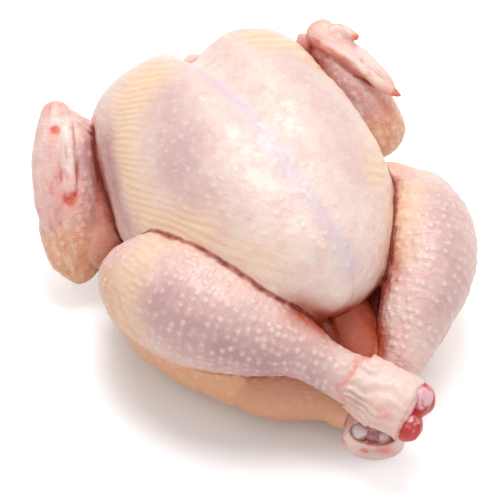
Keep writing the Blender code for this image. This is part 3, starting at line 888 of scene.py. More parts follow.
def main_relief(points, normals):
    """The points with the creases, ridges, cuff and hollows pressed in or raised."""
    rise = wrinkles(points)
    for path, depth, width in CREASES:
        rise -= depth * band(points, path, width)
    for path, height, width in RIDGES:
        rise += height * band(points, path, width)

    cover, fold, crinkle, _ = cuff_shape(points)
    rise += CUFF_RISE * cover * fold + CUFF_WRINKLE_HEIGHT * cover * crinkle

    rise += sum(height * unevenness(points, size, seed) for height, size, seed in SWELLS)
    moved = points + normals * rise[:, None]
    for *hollow, depth in HOLLOWS:
        out, height, first, second = in_hollow(moved, *hollow)
        spread = first**2 + second**2
        inside = (spread < 1) & (height > -HOLLOW_REACH)
        floor = -depth * np.sqrt(np.clip(1 - spread, 0, 1))
        drop = np.where(inside & (height > floor), floor - height, 0)
        moved += drop[:, None] * out
    return moved


moved = main_relief(vertices_of(skin.data), normals_of(skin.data))
move_vertices(skin.data, moved)


# The follicles: a raised, pale dot where each plucked feather stood. They stand in
# staggered rows along the feather tracts, close on the legs and wings and sparse on
# the breast. Each tract: form, spacing, height, share left out, from and to along it.
FEATHER_TRACTS = (
    ("over_drumstick", 0.0047, 0.00044, 0.12, 0.06, 0.80),
    ("under_drumstick", 0.0047, 0.00046, 0.12, 0.10, 0.86),
    ("right_arm", 0.0050, 0.00030, 0.12, 0.10, 0.97),
    ("left_arm", 0.0046, 0.00034, 0.05, 0.15, 0.97),
    ("breast", 0.0066, 0.00022, 0.25, 0.04, 0.98),
    ("over_thigh", 0.0064, 0.00014, 0.35, 0.03, 0.97),
    ("under_thigh", 0.0064, 0.00014, 0.35, 0.03, 0.97),
)
FOLLICLE_RADIUS = 0.00150
LOOP_STEPS = 241
FEWEST_IN_ROW = 3
# How far apart two rows stand, and how far a follicle strays along and off its row, as
# shares of the spacing
ROW_STEP = 0.87
STRAY_ALONG = 0.17
STRAY_ASIDE = 0.11
# The least and the greatest share of its tract's height that a follicle has
FOLLICLE_HEIGHTS = (0.25, 1.15)
# A follicle is kept where the skin is this near to it and is mostly its own form's
SKIN_NEAR = 0.0022
MOSTLY = 0.6
FOLLICLE_SEED = 11
FOLLICLES_OVER_FAT = 0.3


def follicle_places(points):
    """The middle of each follicle on the skin, and how strongly it stands out."""
    random = np.random.default_rng(FOLLICLE_SEED)
    tree = KDTree(len(points))
    for i, point in enumerate(points):
        tree.insert(point, i)
    tree.balance()
    owners = where_on_bird(points)
    places, heights = [], []
    turn = np.linspace(-math.pi, math.pi, LOOP_STEPS)
    for name, spacing, height, left_out, start, end in FEATHER_TRACTS:
        on_breast = name == "breast"
        length = length_of([(row[0], 0, 0) for row in BREAST_ROWS] if on_breast else LIMBS[name][0])
        for row, along in enumerate(np.arange(start, end, spacing * ROW_STEP / length)):
            share = np.full(len(turn), along)
            loop = breast_point(share, turn) if on_breast else limb_point(LIMBS[name], share, turn)
            reach = np.concatenate([[0], np.cumsum(np.linalg.norm(np.diff(loop, axis=0), axis=1))])
            count = max(int(reach[-1] / spacing), FEWEST_IN_ROW)
            stops = (np.arange(count) + 0.5 * (row % 2)) * reach[-1] / count
            stops += random.normal(0, STRAY_ALONG * spacing, count)
            kept = random.random(count) > left_out
            for stop in stops[kept]:
                spot = [np.interp(stop % reach[-1], reach, loop[:, axis]) for axis in range(3)]
                spot += random.normal(0, STRAY_ASIDE * spacing, 3)
                found, index, gap = tree.find(spot)
                if gap < SKIN_NEAR and owners[name]["share"][index] > MOSTLY:
                    places.append(found)
                    heights.append(height * random.uniform(*FOLLICLE_HEIGHTS))
    return np.array(places), np.array(heights)


def nearest_follicle(points, places):
    """The number of the follicle nearest to each point."""
    tree = KDTree(len(places))
    for i, place in enumerate(places):
        tree.insert(place, i)
    tree.balance()
    return np.array([tree.find(point)[1] for point in points])


def over_fat(points, owners):
    """The share of fat under each point, from the bands down both sides of the breast."""
    right, left = FAT_BAND, mirrored(FAT_BAND)
    bands = np.maximum(band(points, right, FAT_BAND_HALF_WIDTH), band(points, left, FAT_BAND_HALF_WIDTH))
    return bands * owners["breast"]["share"]


points = vertices_of(skin.data)
follicles, follicle_heights = follicle_places(points)
nearest = nearest_follicle(points, follicles)
gap = np.linalg.norm(points - follicles[nearest], axis=1)
owners = where_on_bird(points)
dots = follicle_heights[nearest] * np.exp(-((gap / FOLLICLE_RADIUS) ** 2))

fat = over_fat(points, owners)
rise = dots * (1 - (1 - FOLLICLES_OVER_FAT) * fat) + PLEAT_HEIGHT * fat * fat_pleats(points)
move_vertices(skin.data, points + normals_of(skin.data) * rise[:, None])
thinned(flattened_below(skin, REST_CUT_Z), SKIN_TRIANGLES)
skin.data.shade_smooth()


# The tones of the skin: cream where fat lies under it, purple-grey where it is thin
# over dark muscle, tan on the loose skin below, lavender over the keel, and red at the
# cuts, with painted shade in the folds, creases and grooves. Each tone is a share from 0
# to 1 at each point of the skin. Each path of a tone has its points, its half width and
# its strength.
PINK_FORMS = {
    "over_drumstick": 0.62, "under_drumstick": 0.50, "right_arm": 0.7, "right_hand": 0.65,
    "left_arm": 0.9, "left_hand": 0.5, "right_web": 0.9, "left_web": 0.9, "neck_lip": 0.9,
}
TAN_FORMS = {
    "carcass": 0.9, "over_thigh": 1.0, "under_thigh": 0.7, "tail": 1.0, "neck_flap": 0.5,
    "right_upper_arm": 0.5, "left_thumb": 0.3,
}
# The dark red of the belly, the trunk and the upper arm of the right wing: partly raw meat, partly painted
# shade in the recesses
DEEP_FORMS = {"belly": 1.0, "carcass": 0.25, "right_upper_arm": 0.5}
BELLY_MIDDLE = (0.006, -0.055, 0.040)
BELLY_SIZE = (0.026, 0.027, 0.026)
BELLY_FADE = 0.35
# Raw meat and blood that show through between the parts, darkened there as painted shade as well
DEEP_PATHS = (
    (((-0.0196, -0.0515, 0.0700), (-0.0139, -0.0570, 0.0640), (-0.0014, -0.0534, 0.0445),
      (0.0029, -0.0583, 0.0436), (0.0096, -0.0563, 0.0459)), 0.0095, 1.0),
    (((-0.0622, 0.0980, 0.0690), (-0.0670, 0.0860, 0.0620), (-0.0723, 0.0655, 0.0418)), 0.0050, 0.55),
)
# The right side of the breast, below the band of fat
FLANK_PATH = (((-0.0600, 0.0860, 0.0860), (-0.0660, 0.0700, 0.0780), (-0.0695, 0.0500, 0.0670)), 0.0105, 1.0)
FLANK_CREAM = 0.3
MUSCLE_PATHS = (
    FLANK_PATH,
    # The right drumstick, along its outer side
    (((-0.0837, -0.0216, 0.0773), (-0.0783, -0.0358, 0.0725), (-0.0678, -0.0483, 0.0688),
      (-0.0537, -0.0589, 0.0629), (-0.0383, -0.0669, 0.0558), (-0.0263, -0.0763, 0.0541)), 0.017, 1.0),
    # The breast between the band of fat and the keel
    (((-0.0330, 0.0800, 0.1190), (-0.0400, 0.0459, 0.1153), (-0.0462, 0.0314, 0.1099),
      (-0.0491, 0.0079, 0.1005)), 0.019, 0.75),
    # The left lobe of the breast, beyond the keel
    (((0.0350, 0.0900, 0.1170), (0.0420, 0.0400, 0.1130), (0.0380, 0.0000, 0.1080)), 0.018, 0.40),
    # The left drumstick, along its outer side
    (((0.0776, -0.0184, 0.0783), (0.0717, -0.0405, 0.0722), (0.0663, -0.0569, 0.0606),
      (0.0516, -0.0681, 0.0562)), 0.014, 0.6),
    # The inner sides of the folded wings
    (((-0.0690, 0.1000, 0.0720), (-0.0742, 0.0827, 0.0608), (-0.0767, 0.0741, 0.0510)), 0.009, 0.9),
    (((0.0720, 0.0950, 0.0830), (0.0759, 0.0787, 0.0737), (0.0820, 0.0700, 0.0640)), 0.010, 0.8),
)
TAN_PATHS = (
    # The skin of the thigh where it wraps the right knee
    (((-0.0969, 0.0131, 0.0663), (-0.0981, 0.0034, 0.0614), (-0.0965, -0.0045, 0.0535),
      (-0.0872, 0.0019, 0.0268), (-0.0821, -0.0115, 0.0247), (-0.0746, -0.0261, 0.0299),
      (-0.0637, -0.0388, 0.0361)), 0.0125, 0.90),
)
CREAM_PATHS = (
    # The right knee and the front of the right thigh
    (((-0.0727, 0.0114, 0.0862), (-0.0851, 0.0026, 0.0822), (-0.0924, -0.0009, 0.0743),
      (-0.0944, -0.0105, 0.0623)), 0.011, 0.8),
    # The left knee
    (((0.0675, -0.0045, 0.0774), (0.0546, -0.0179, 0.0772), (0.0442, -0.0325, 0.0699)), 0.010, 0.9),
    # The lower end of the breast's right lobe
    (((-0.0560, 0.0050, 0.0880), (-0.0441, -0.0107, 0.0941), (-0.0270, -0.0323, 0.0922)), 0.011, 0.55),
)
KEEL_LINE = (
    (-0.0083, 0.0940, 0.1117), (-0.0027, 0.0577, 0.1177), (0.0008, 0.0015, 0.1163),
    (0.0062, -0.0326, 0.1024), (0.0110, -0.0460, 0.0839),
)
KEEL_HALF_WIDTH = 0.0048
# The cut ends of the wings, the wrists, where the skin is thin over the joint, and the
# spots at the hocks. Each spot: its place, its reach, the share of it that fades, strength.
RED_SPOTS = (
    ((-0.0869, 0.0822, 0.0612), 0.0060, 0.5, 1.0),
    ((-0.0827, 0.1089, 0.0854), 0.0036, 0.5, 0.9),
    (WINGS["left_finger"][-1][:3], 0.0095, 0.6, 1.0),
    (WINGS["left_thumb"][-1][:3], 0.0050, 0.7, 0.9),
    ((-0.0869, 0.0822, 0.0612), 0.0160, 1.0, 0.40),
    (WINGS["right_hand"][0][:3], 0.0200, 1.0, 0.45),
    (WINGS["left_hand"][0][:3], 0.0220, 1.0, 0.50),
    (WINGS["left_finger"][-1][:3], 0.0240, 1.0, 0.45),
    ((-0.0151, -0.0946, 0.0172), 0.0036, 0.7, 0.8),
    ((-0.0079, -0.1027, 0.0144), 0.0030, 0.6, 0.9),
    ((0.0008, -0.1077, 0.0167), 0.0080, 1.0, 0.7),
    ((-0.0122, -0.0888, 0.0212), 0.0030, 0.6, 0.9),
    ((-0.0026, -0.1116, 0.0487), 0.0065, 1.0, 0.45),
)
# Red painted shade in the grooves below the last joint and the thumb of the left wing, and a
# red tint beside the last joint of the right one
RED_PATHS = (
    (((0.0679, 0.1018, 0.0928), (0.0716, 0.0948, 0.0913), (0.0768, 0.0870, 0.0870),
      (0.0822, 0.0797, 0.0813), (0.0883, 0.0736, 0.0745)), 0.0017, 0.75),
    (((0.0744, 0.1004, 0.0964), (0.0804, 0.0945, 0.0938), (0.0842, 0.0910, 0.0915)), 0.0015, 0.60),
    (((-0.0850, 0.1080, 0.0840), (-0.0890, 0.0950, 0.0730), (-0.0900, 0.0840, 0.0620)), 0.0035, 0.28),
)
# Pale skin drawn over the bone of the last joint of each wing, with a painted highlight along its ridge, and
# the cuff at the hock
WHITE_PATHS = (
    (tuple(row[:3] for row in WINGS["right_finger"]), 0.0052, 1.0),
    (tuple(row[:3] for row in WINGS["left_finger"][1:4]), 0.0050, 0.6),
    (tuple(row[:3] for row in WINGS["left_hand"][1:5]), 0.0095, 1.0),
    (((-0.0064, -0.0900, 0.0582), (0.0003, -0.0948, 0.0577), (0.0096, -0.1037, 0.0570)), 0.011, 0.65),
)
# The torn rim of each open hock: where it lies between the middle and the edge of its
# hollow, and how far in and out of the hollow it reaches
RIM_SPREAD = 0.98
RIM_WIDTH = 0.10
RIM_REACH = 0.005
RIM_RED = 0.8
# Nothing within this far of the open cut is toned as a crease or a shadow
CUT_SPREAD = 1.15
CUT_REACH = 0.009
# How red the painted shadow before the cuff's edge is
CUFF_SHADOW_LIP_RED = 0.50
CUFF_CREAM = 0.40
# The arms of the wings turn tan towards the elbow, from this share of their length
ARM_TAN = 0.9
ARM_TAN_START = 0.42
ARM_TAN_FADE = 0.34
# How far the skin is drawn smooth to find the creases, which are darkened as painted shade, and the depth of
# a full one
EVEN_ROUNDS = 5
CREASE_ROUNDS = 40
CREASE_DEPTH = 0.0011
# On the breast the painted shade of the creases is faint, from this share of the skin being the breast's own
BREAST_CREASES = 0.15
BREAST_OWN = 0.75
BREAST_OWN_FADE = 0.2
# A follicle of this height has the full pale dot, and the tallest ones a little more
FULL_DOT_HEIGHT = 0.00038
FULLEST_DOT = 1.2
# How closed in each point is, which darkens the skin as painted shade: rays to count,
# their reach and start, how far they lean outwards, and at which of the points they are cast
SHELTER_REACH = 0.022
SHELTER_RAYS = 20
SHELTER_START = 0.0006
SHELTER_LEAN = 1.02
SHELTER_STEP = 5
SHELTER_NEIGHBOURS = 4
SHELTER_SEED = 5
# On the wings the painted shade is kept at this share
WING_SHELTER = 0.7
# The material's patterns are told in millimetres
MILLIMETRES = 1000


def shelter_of(obj, points, normals):
    """The share of each point's outlook that other skin closes in within a short reach, for the painted
    shade.
    """
    bm = bmesh.new()
    bm.from_mesh(obj.data)
    tree = BVHTree.FromBMesh(bm)
    bm.free()
    random = np.random.default_rng(SHELTER_SEED)
    ways = random.normal(size=(SHELTER_RAYS, 3))
    ways /= np.linalg.norm(ways, axis=1)[:, None]
    picked = np.arange(0, len(points), SHELTER_STEP)
    known = KDTree(len(picked))
    closed = np.zeros(len(picked))
    for slot, i in enumerate(picked):
        start = Vector(points[i] + SHELTER_START * normals[i])
        hits = 0
        for way in ways + SHELTER_LEAN * normals[i]:
            if tree.ray_cast(start, Vector(way), SHELTER_REACH)[0] is not None:
                hits += 1
        closed[slot] = hits / SHELTER_RAYS
        known.insert(points[i], slot)
    known.balance()
    shelter = np.empty(len(points))
    for i, point in enumerate(points):
        found = known.find_n(point, SHELTER_NEIGHBOURS)
        shelter[i] = sum(closed[slot] for _, slot, _ in found) / len(found)
    return shelter


def settled(mesh, points, rounds):
    """The points after the mesh is drawn smooth, to tell hollows from swells."""
    ends = np.empty(len(mesh.edges) * 2, np.int32)
    mesh.edges.foreach_get("vertices", ends)
    first, second = ends.reshape(-1, 2).T
    count = np.bincount(first, minlength=len(points)) + np.bincount(second, minlength=len(points))
    for _ in range(rounds):
        total = np.stack([
            np.bincount(first, points[second, axis], len(points))
            + np.bincount(second, points[first, axis], len(points))
            for axis in range(3)
        ], axis=1)
        points = 0.5 * points + 0.5 * total / np.maximum(count, 1)[:, None]
    return points


def keep_tone(mesh, name, values, kind="FLOAT"):
    """Stores a value for each point on the mesh, where the material finds it by name."""
    attribute = mesh.attributes.new(name, kind, "POINT")
    field = "vector" if kind == "FLOAT_VECTOR" else "value"
    attribute.data.foreach_set(field, np.asarray(values, np.float32).ravel())


def strongest(points, paths):
    """The greatest share that any of the paths gives to each point."""
    share = np.zeros(len(points))
    for path, width, strength in paths:
        share = np.maximum(share, strength * band(points, path, width))
    return share


def by_form(owners, tones):
    """The tone that each point takes from the forms that it belongs to."""
    return sum(owners[name]["share"] * tone for name, tone in tones.items())


def fatty(points, owners):
    """The cream of the fat, less where it thins out over the flank."""
    cream = np.maximum(over_fat(points, owners), strongest(points, CREAM_PATHS))
    path, width, _ = FLANK_PATH
    return cream * (1 - (1 - FLANK_CREAM) * band(points, path, width))


def reds_and_groove_shade(points):
    """The red of the cut ends and the torn rims, the red painted shade in the grooves of the left wing, and
    0 in the open cuts.
    """
    red = np.zeros(len(points))
    for place, reach, fades, strength in RED_SPOTS:
        away = np.linalg.norm(points - np.array(place), axis=1)
        red = np.maximum(red, strength * smooth_step((1 - away / reach) / fades))
    patchy = 0.75 + 0.25 * unevenness(points, size=0.008, seed=32)
    red = np.maximum(red, strongest(points, RED_PATHS) * patchy)
    open_cut = np.ones(len(points))
    ragged = 0.65 + 0.35 * unevenness(points, size=0.006, seed=31)
    for hollow in HOLLOWS:
        _, height, first, second = in_hollow(points, *hollow[:-1])
        spread = np.hypot(first, second)
        rim = np.exp(-(((spread - RIM_SPREAD) / RIM_WIDTH) ** 2)) * (np.abs(height) < RIM_REACH)
        open_cut = np.where((spread < CUT_SPREAD) & (np.abs(height) < CUT_REACH), 0, open_cut)
        red = np.maximum(red, RIM_RED * rim * ragged)
    return red, open_cut


points = vertices_of(skin.data)
normals = normals_of(skin.data)
owners = where_on_bird(points)
nearest = nearest_follicle(points, follicles)
offset = follicles[nearest] - points
dot_strength = np.clip(follicle_heights[nearest] / FULL_DOT_HEIGHT, 0, FULLEST_DOT)

tan = by_form(owners, TAN_FORMS)
for name in ("right_arm", "left_arm"):
    down_the_arm = smooth_step((owners[name]["along"] - ARM_TAN_START) / ARM_TAN_FADE)
    tan += ARM_TAN * owners[name]["share"] * down_the_arm
tan = np.maximum(tan, strongest(points, TAN_PATHS))

from_belly = np.linalg.norm((points - np.array(BELLY_MIDDLE)) / np.array(BELLY_SIZE), axis=1)
deep = np.maximum(by_form(owners, DEEP_FORMS), smooth_step((1 - from_belly) / BELLY_FADE))
deep = np.maximum(deep, strongest(points, DEEP_PATHS))

red, open_cut = reds_and_groove_shade(points)
cover, fold, crinkle, lip = cuff_shape(points)
# The cuff's edge casts a painted shadow, red, on the strip before it
red = np.maximum(red, CUFF_SHADOW_LIP_RED * lip)
cream = np.maximum(fatty(points, owners), CUFF_CREAM * cover * fold)
pleat = np.where(cover > 0.5, 0.5 + 0.8 * crinkle, 0.5 + 0.5 * fat_pleats(points))

# How sunk each point lies below the smoothed skin, which darkens the creases as painted shade
even = settled(skin.data, points, EVEN_ROUNDS)
sunk = ((settled(skin.data, even, CREASE_ROUNDS) - even) * normals).sum(1)
inside_breast = smooth_step((owners["breast"]["share"] - BREAST_OWN) / BREAST_OWN_FADE)
crease = np.clip(sunk / CREASE_DEPTH, 0, 1) * open_cut * (1 - (1 - BREAST_CREASES) * inside_breast)

flow, sure = flow_over(owners, points)
sure *= 1 - (1 - BREAST_WRINKLES) * owners["breast"]["share"]
in_wing = sum(owners[name]["share"] for name in WINGS)
# How closed in each point is, kept as painted shade: less on the wings and none in the open cuts
shelter = shelter_of(skin, points, normals) * (1 - (1 - WING_SHELTER) * in_wing) * open_cut

keep_tone(skin.data, "follicle_offset", offset * MILLIMETRES, "FLOAT_VECTOR")
keep_tone(skin.data, "follicle_gap", np.linalg.norm(offset, axis=1) * MILLIMETRES)
keep_tone(skin.data, "flow", flow * MILLIMETRES, "FLOAT_VECTOR")
for name, values in (
    ("follicle_strength", dot_strength),
    ("pink", by_form(owners, PINK_FORMS)),
    ("tan", tan),
    ("muscle", strongest(points, MUSCLE_PATHS)),
    ("cream", cream),
    ("pleat", pleat),
    ("keel", band(points, KEEL_LINE, KEEL_HALF_WIDTH)),
    ("white", strongest(points, WHITE_PATHS)),
    ("deep", deep),
    ("red", red),
    ("crease", crease),
    ("shelter", shelter),
    ("sure", sure),
    ("wing", in_wing),
):
    keep_tone(skin.data, name, values)


# The look of the skin: a clear, wet layer over the tones, with a faint mottle, a pale
# dot on each follicle and a fine grain in the gloss.
SKIN_PALE = (246, 223, 212)
SKIN_PINK = (236, 184, 178)
SKIN_MUSCLE = (196, 148, 154)
SKIN_CREAM = (254, 220, 184)
SKIN_PLEAT = (247, 200, 164)
SKIN_TAN = (232, 172, 126)
# Raw meat, darkened as painted shade between the parts
SKIN_DEEP_MEAT_AND_SHADE = (188, 74, 30)
SKIN_KEEL = (222, 200, 214)
SKIN_RED = (236, 86, 50)
SKIN_WHITE = (253, 232, 222)
# Painted shade for the closed-in folds and the creases
SKIN_FOLD_SHADE = (190, 76, 46)
# A darker painted shadow for the deepest line of the creases
SKIN_CREASE_SHADOW = (120, 30, 12)
SKIN_VEIN = (222, 120, 106)
SKIN_DOT = (252, 224, 210)
# The gloss of the wet skin, its depth and the strength of its finest relief
SKIN_ROUGHNESS = (0.36, 0.45)
SKIN_COAT = 0.32
SKIN_COAT_ROUGHNESS = 0.19
SKIN_CLEARNESS = 0.22
SKIN_CLEAR_RADIUS = (1.0, 0.32, 0.18)
SKIN_CLEAR_DEPTH = 0.004
SKIN_BUMP = (0.80, 0.0010)
SKIN_GRAIN_SCALE = 520
# How the patterns are drawn out along and across the flow of the skin, for each millimetre
VEIN_SCALE = (0.03, 0.03, 0.03)
STREAK_SCALE = (0.10, 0.24, 0.24)
WET_SCALE = (0.30, 0.10, 0.10)
RING_SCALE = (0.70, 0.17, 0.17)
FINE_SCALE = (1.9, 0.5, 0.5)
# The distance in millimetres over which a pale dot fades
DOT_FADE = 2.4


def colour(levels):
    """A colour given in the 0 to 255 steps of a screen, as light."""
    shares = [level / 255 for level in levels]
    light = [s / 12.92 if s <= 0.04045 else ((s + 0.055) / 1.055) ** 2.4 for s in shares]
    return (*light, 1)


def grain_group():
    """The fine grain of everything wet: small bumps at the place and scale given to it."""
    group = bpy.data.node_groups.new("wet grain", "ShaderNodeTree")
    group.interface.new_socket("Place", in_out="INPUT", socket_type="NodeSocketVector")
    group.interface.new_socket("Scale", in_out="INPUT", socket_type="NodeSocketFloat")
    group.interface.new_socket("Height", in_out="OUTPUT", socket_type="NodeSocketFloat")
    given = group.nodes.new("NodeGroupInput")
    found = group.nodes.new("NodeGroupOutput")
    bumps = group.nodes.new("ShaderNodeTexNoise")
    bumps.inputs["Detail"].default_value = 3
    bumps.inputs["Roughness"].default_value = 0.6
    group.links.new(given.outputs["Place"], bumps.inputs["Vector"])
    group.links.new(given.outputs["Scale"], bumps.inputs["Scale"])
    group.links.new(bumps.outputs["Fac"], found.inputs["Height"])
    return group


WET_GRAIN = grain_group()


class Recipe:
    """Short ways to add and join the nodes of one material."""

    def __init__(self, name):
        self.material = bpy.data.materials.new(name)
        self.material.use_nodes = True
        self.tree = self.material.node_tree
        self.shader = self.tree.nodes["Principled BSDF"]

    def feed(self, socket, value):
        """Links another node's output to a socket, or sets a plain value on it."""
        if isinstance(value, bpy.types.NodeSocket):
            self.tree.links.new(value, socket)
        else:
            socket.default_value = value

    def tone(self, name, output="Fac"):
        """A value kept on the mesh's points under a name."""
        node = self.tree.nodes.new("ShaderNodeAttribute")
        node.attribute_name = name
        return node.outputs[output]

    def place(self):
        return self.tree.nodes.new("ShaderNodeTexCoord").outputs["Object"]

    def stretched(self, name, scale):
        """Places kept on the mesh under a name, scaled apart along each of their directions."""
        node = self.tree.nodes.new("ShaderNodeVectorMath")
        node.operation = "MULTIPLY"
        self.feed(node.inputs[0], self.tone(name, "Vector"))
        node.inputs[1].default_value = scale
        return node.outputs["Vector"]

    def noise(self, scale, detail=2.0, roughness=0.5, vector=None):
        """A cloudy pattern around 0.5, at the object's own places or at those given."""
        node = self.tree.nodes.new("ShaderNodeTexNoise")
        self.feed(node.inputs["Vector"], vector or self.place())
        node.inputs["Scale"].default_value = scale
        node.inputs["Detail"].default_value = detail
        node.inputs["Roughness"].default_value = roughness
        return node.outputs["Fac"]

    def grain(self, scale):
        """The height of the wet grain at a scale."""
        node = self.tree.nodes.new("ShaderNodeGroup")
        node.node_tree = WET_GRAIN
        self.feed(node.inputs["Place"], self.place())
        node.inputs["Scale"].default_value = scale
        return node.outputs["Height"]

    def maths(self, operation, *values):
        node = self.tree.nodes.new("ShaderNodeMath")
        node.operation = operation
        for socket, value in zip(node.inputs, values):
            self.feed(socket, value)
        return node.outputs[0]

    def between(self, value, low, high, to_low=0.0, to_high=1.0):
        """A smooth change from to_low to to_high as the value goes from low to high."""
        node = self.tree.nodes.new("ShaderNodeMapRange")
        node.interpolation_type = "SMOOTHSTEP"
        self.feed(node.inputs["Value"], value)
        for label, amount in (
            ("From Min", low), ("From Max", high), ("To Min", to_low), ("To Max", to_high),
        ):
            node.inputs[label].default_value = amount
        return node.outputs["Result"]

    def mix(self, share, under, over):
        """One colour laid over another by a share."""
        node = self.tree.nodes.new("ShaderNodeMix")
        node.data_type = "RGBA"
        self.feed(node.inputs[0], share)
        self.feed(node.inputs[6], under)
        self.feed(node.inputs[7], over)
        return node.outputs[2]

    def set_clear(self, weight, radius, depth):
        """Lets light into the surface by the given share, to the given depth in metres."""
        self.shader.inputs["Subsurface Weight"].default_value = weight
        self.shader.inputs["Subsurface Radius"].default_value = radius
        self.shader.inputs["Subsurface Scale"].default_value = depth

    def set_coat(self, weight, roughness):
        self.shader.inputs["Coat Weight"].default_value = weight
        self.shader.inputs["Coat Roughness"].default_value = roughness

    def raise_by(self, height, strength, distance):
        """Raises the surface's look by a pattern of heights."""
        node = self.tree.nodes.new("ShaderNodeBump")
        node.inputs["Strength"].default_value = strength
        node.inputs["Distance"].default_value = distance
        self.feed(node.inputs["Height"], height)
        self.feed(self.shader.inputs["Normal"], node.outputs["Normal"])


def skin_material():
    """The tones laid over each other from pale to red, under a wet coat."""
    mixer = Recipe("raw skin")

    def share(name, amount):
        return mixer.maths("MULTIPLY", mixer.tone(name), amount)

    mottle = mixer.noise(scale=95, detail=4, roughness=0.65)
    net = mixer.noise(scale=240, detail=3, roughness=0.6)
    broad = mixer.between(mixer.noise(scale=30), 0.38, 0.68)

    # The tones under the skin
    base = mixer.mix(mixer.between(mottle, 0.38, 0.68, 0.0, 0.45), colour(SKIN_PALE), colour(SKIN_PINK))
    base = mixer.mix(share("pink", mixer.between(mottle, 0.3, 0.65, 0.55, 0.9)), base, colour(SKIN_PINK))
    base = mixer.mix(mixer.tone("tan"), base, colour(SKIN_TAN))
    base = mixer.mix(share("muscle", mixer.between(broad, 0, 1, 0.7, 0.95)), base, colour(SKIN_MUSCLE))
    pleated = mixer.mix(mixer.between(mixer.tone("pleat"), 0.0, 1.0), colour(SKIN_PLEAT), colour(SKIN_CREAM))
    base = mixer.mix(share("cream", mixer.between(mottle, 0.3, 0.6, 0.8, 1.0)), base, pleated)
    base = mixer.mix(share("keel", 0.75), base, colour(SKIN_KEEL))
    # Pale skin over the wing bones with a painted highlight along their ridges, and the pale cuff
    base = mixer.mix(share("white", 0.9), base, colour(SKIN_WHITE))
    base = mixer.mix(mixer.between(net, 0.52, 0.72, 0.0, 0.28), base, colour(SKIN_DOT))

    # Fine veins in the pink skin, and flushed and drawn streaks on the wings
    vein = mixer.noise(scale=130, vector=mixer.stretched("flow", VEIN_SCALE))
    vein = mixer.between(mixer.maths("ABSOLUTE", mixer.maths("SUBTRACT", vein, 0.5)), 0.0, 0.018, 0.3, 0.0)
    base = mixer.mix(mixer.maths("MULTIPLY", vein, mixer.tone("pink")), base, colour(SKIN_VEIN))
    streak = mixer.noise(1.0, 3, 0.6, mixer.stretched("flow", STREAK_SCALE))
    flushed = mixer.between(streak, 0.52, 0.70, 0.0, 0.50)
    base = mixer.mix(mixer.maths("MULTIPLY", flushed, mixer.tone("wing")), base, colour(SKIN_VEIN))
    drawn = mixer.between(streak, 0.34, 0.46, 0.32, 0.0)
    base = mixer.mix(mixer.maths("MULTIPLY", drawn, mixer.tone("wing")), base, colour(SKIN_WHITE))

    # A pale dot on each follicle, fainter over fat
    length = mixer.tree.nodes.new("ShaderNodeVectorMath")
    length.operation = "LENGTH"
    mixer.feed(length.inputs[0], mixer.tone("follicle_offset", "Vector"))
    dot = mixer.between(length.outputs["Value"], 0.0, DOT_FADE, 1.0, 0.0)
    dot = mixer.maths("MULTIPLY", dot, mixer.between(mixer.tone("follicle_gap"), 1.8, DOT_FADE, 1.0, 0.0))
    dot = mixer.maths("MULTIPLY", dot, mixer.tone("follicle_strength"))
    dot = mixer.maths("MULTIPLY", dot, mixer.maths("SUBTRACT", 1.0, share("cream", 0.7)))
    base = mixer.mix(mixer.maths("MULTIPLY", dot, 0.62), base, colour(SKIN_DOT))

    # Painted shade in the closed-in folds and creases, the raw meat between the parts with painted shade
    # there as well, and blood with red painted shade in the grooves and before the cuff's edge
    closed = mixer.between(mixer.tone("shelter"), 0.32, 0.85, 0.0, 0.85)
    base = mixer.mix(closed, base, colour(SKIN_FOLD_SHADE))
    # The creases darkened as painted shade, and their deepest line as a darker painted shadow
    crease = mixer.tone("crease")
    base = mixer.mix(mixer.between(crease, 0.28, 0.65, 0.0, 0.70), base, colour(SKIN_FOLD_SHADE))
    # Raw meat between the parts, partly painted shade
    base = mixer.mix(share("deep", 0.95), base, colour(SKIN_DEEP_MEAT_AND_SHADE))
    base = mixer.mix(mixer.between(crease, 0.60, 0.95, 0.0, 0.92), base, colour(SKIN_CREASE_SHADOW))
    # Blood, and the red painted shade in the wing's grooves and before the cuff's edge
    blood = mixer.maths("MULTIPLY", mixer.tone("red"), mixer.between(net, 0.30, 0.60, 0.6, 1.0))
    base = mixer.mix(blood, base, colour(SKIN_RED))
    mixer.feed(mixer.shader.inputs["Base Color"], base)

    wet = mixer.noise(1.0, 3, 0.6, mixer.stretched("flow", WET_SCALE))
    mixer.feed(mixer.shader.inputs["Roughness"], mixer.between(wet, 0.3, 0.7, *SKIN_ROUGHNESS))
    mixer.set_clear(SKIN_CLEARNESS, SKIN_CLEAR_RADIUS, SKIN_CLEAR_DEPTH)
    mixer.set_coat(SKIN_COAT, SKIN_COAT_ROUGHNESS)

    # The finest relief: rings round the limbs, finer ones between them, grain and dots
    rings = mixer.noise(1.0, 3, 0.6, mixer.stretched("flow", RING_SCALE))
    finer = mixer.noise(1.0, 2, 0.6, mixer.stretched("flow", FINE_SCALE))
    height = mixer.maths("MULTIPLY", rings, share("sure", 0.9))
    height = mixer.maths("ADD", height, mixer.maths("MULTIPLY", finer, share("sure", 0.35)))
    height = mixer.maths("ADD", height, mixer.maths("MULTIPLY", mixer.grain(SKIN_GRAIN_SCALE), 0.30))
    height = mixer.maths("ADD", height, mixer.maths("MULTIPLY", dot, 0.55))
    mixer.raise_by(height, *SKIN_BUMP)
    return mixer.material


skin.data.materials.clear()
skin.data.materials.append(skin_material())
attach(skin, "root")
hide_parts("chicken")


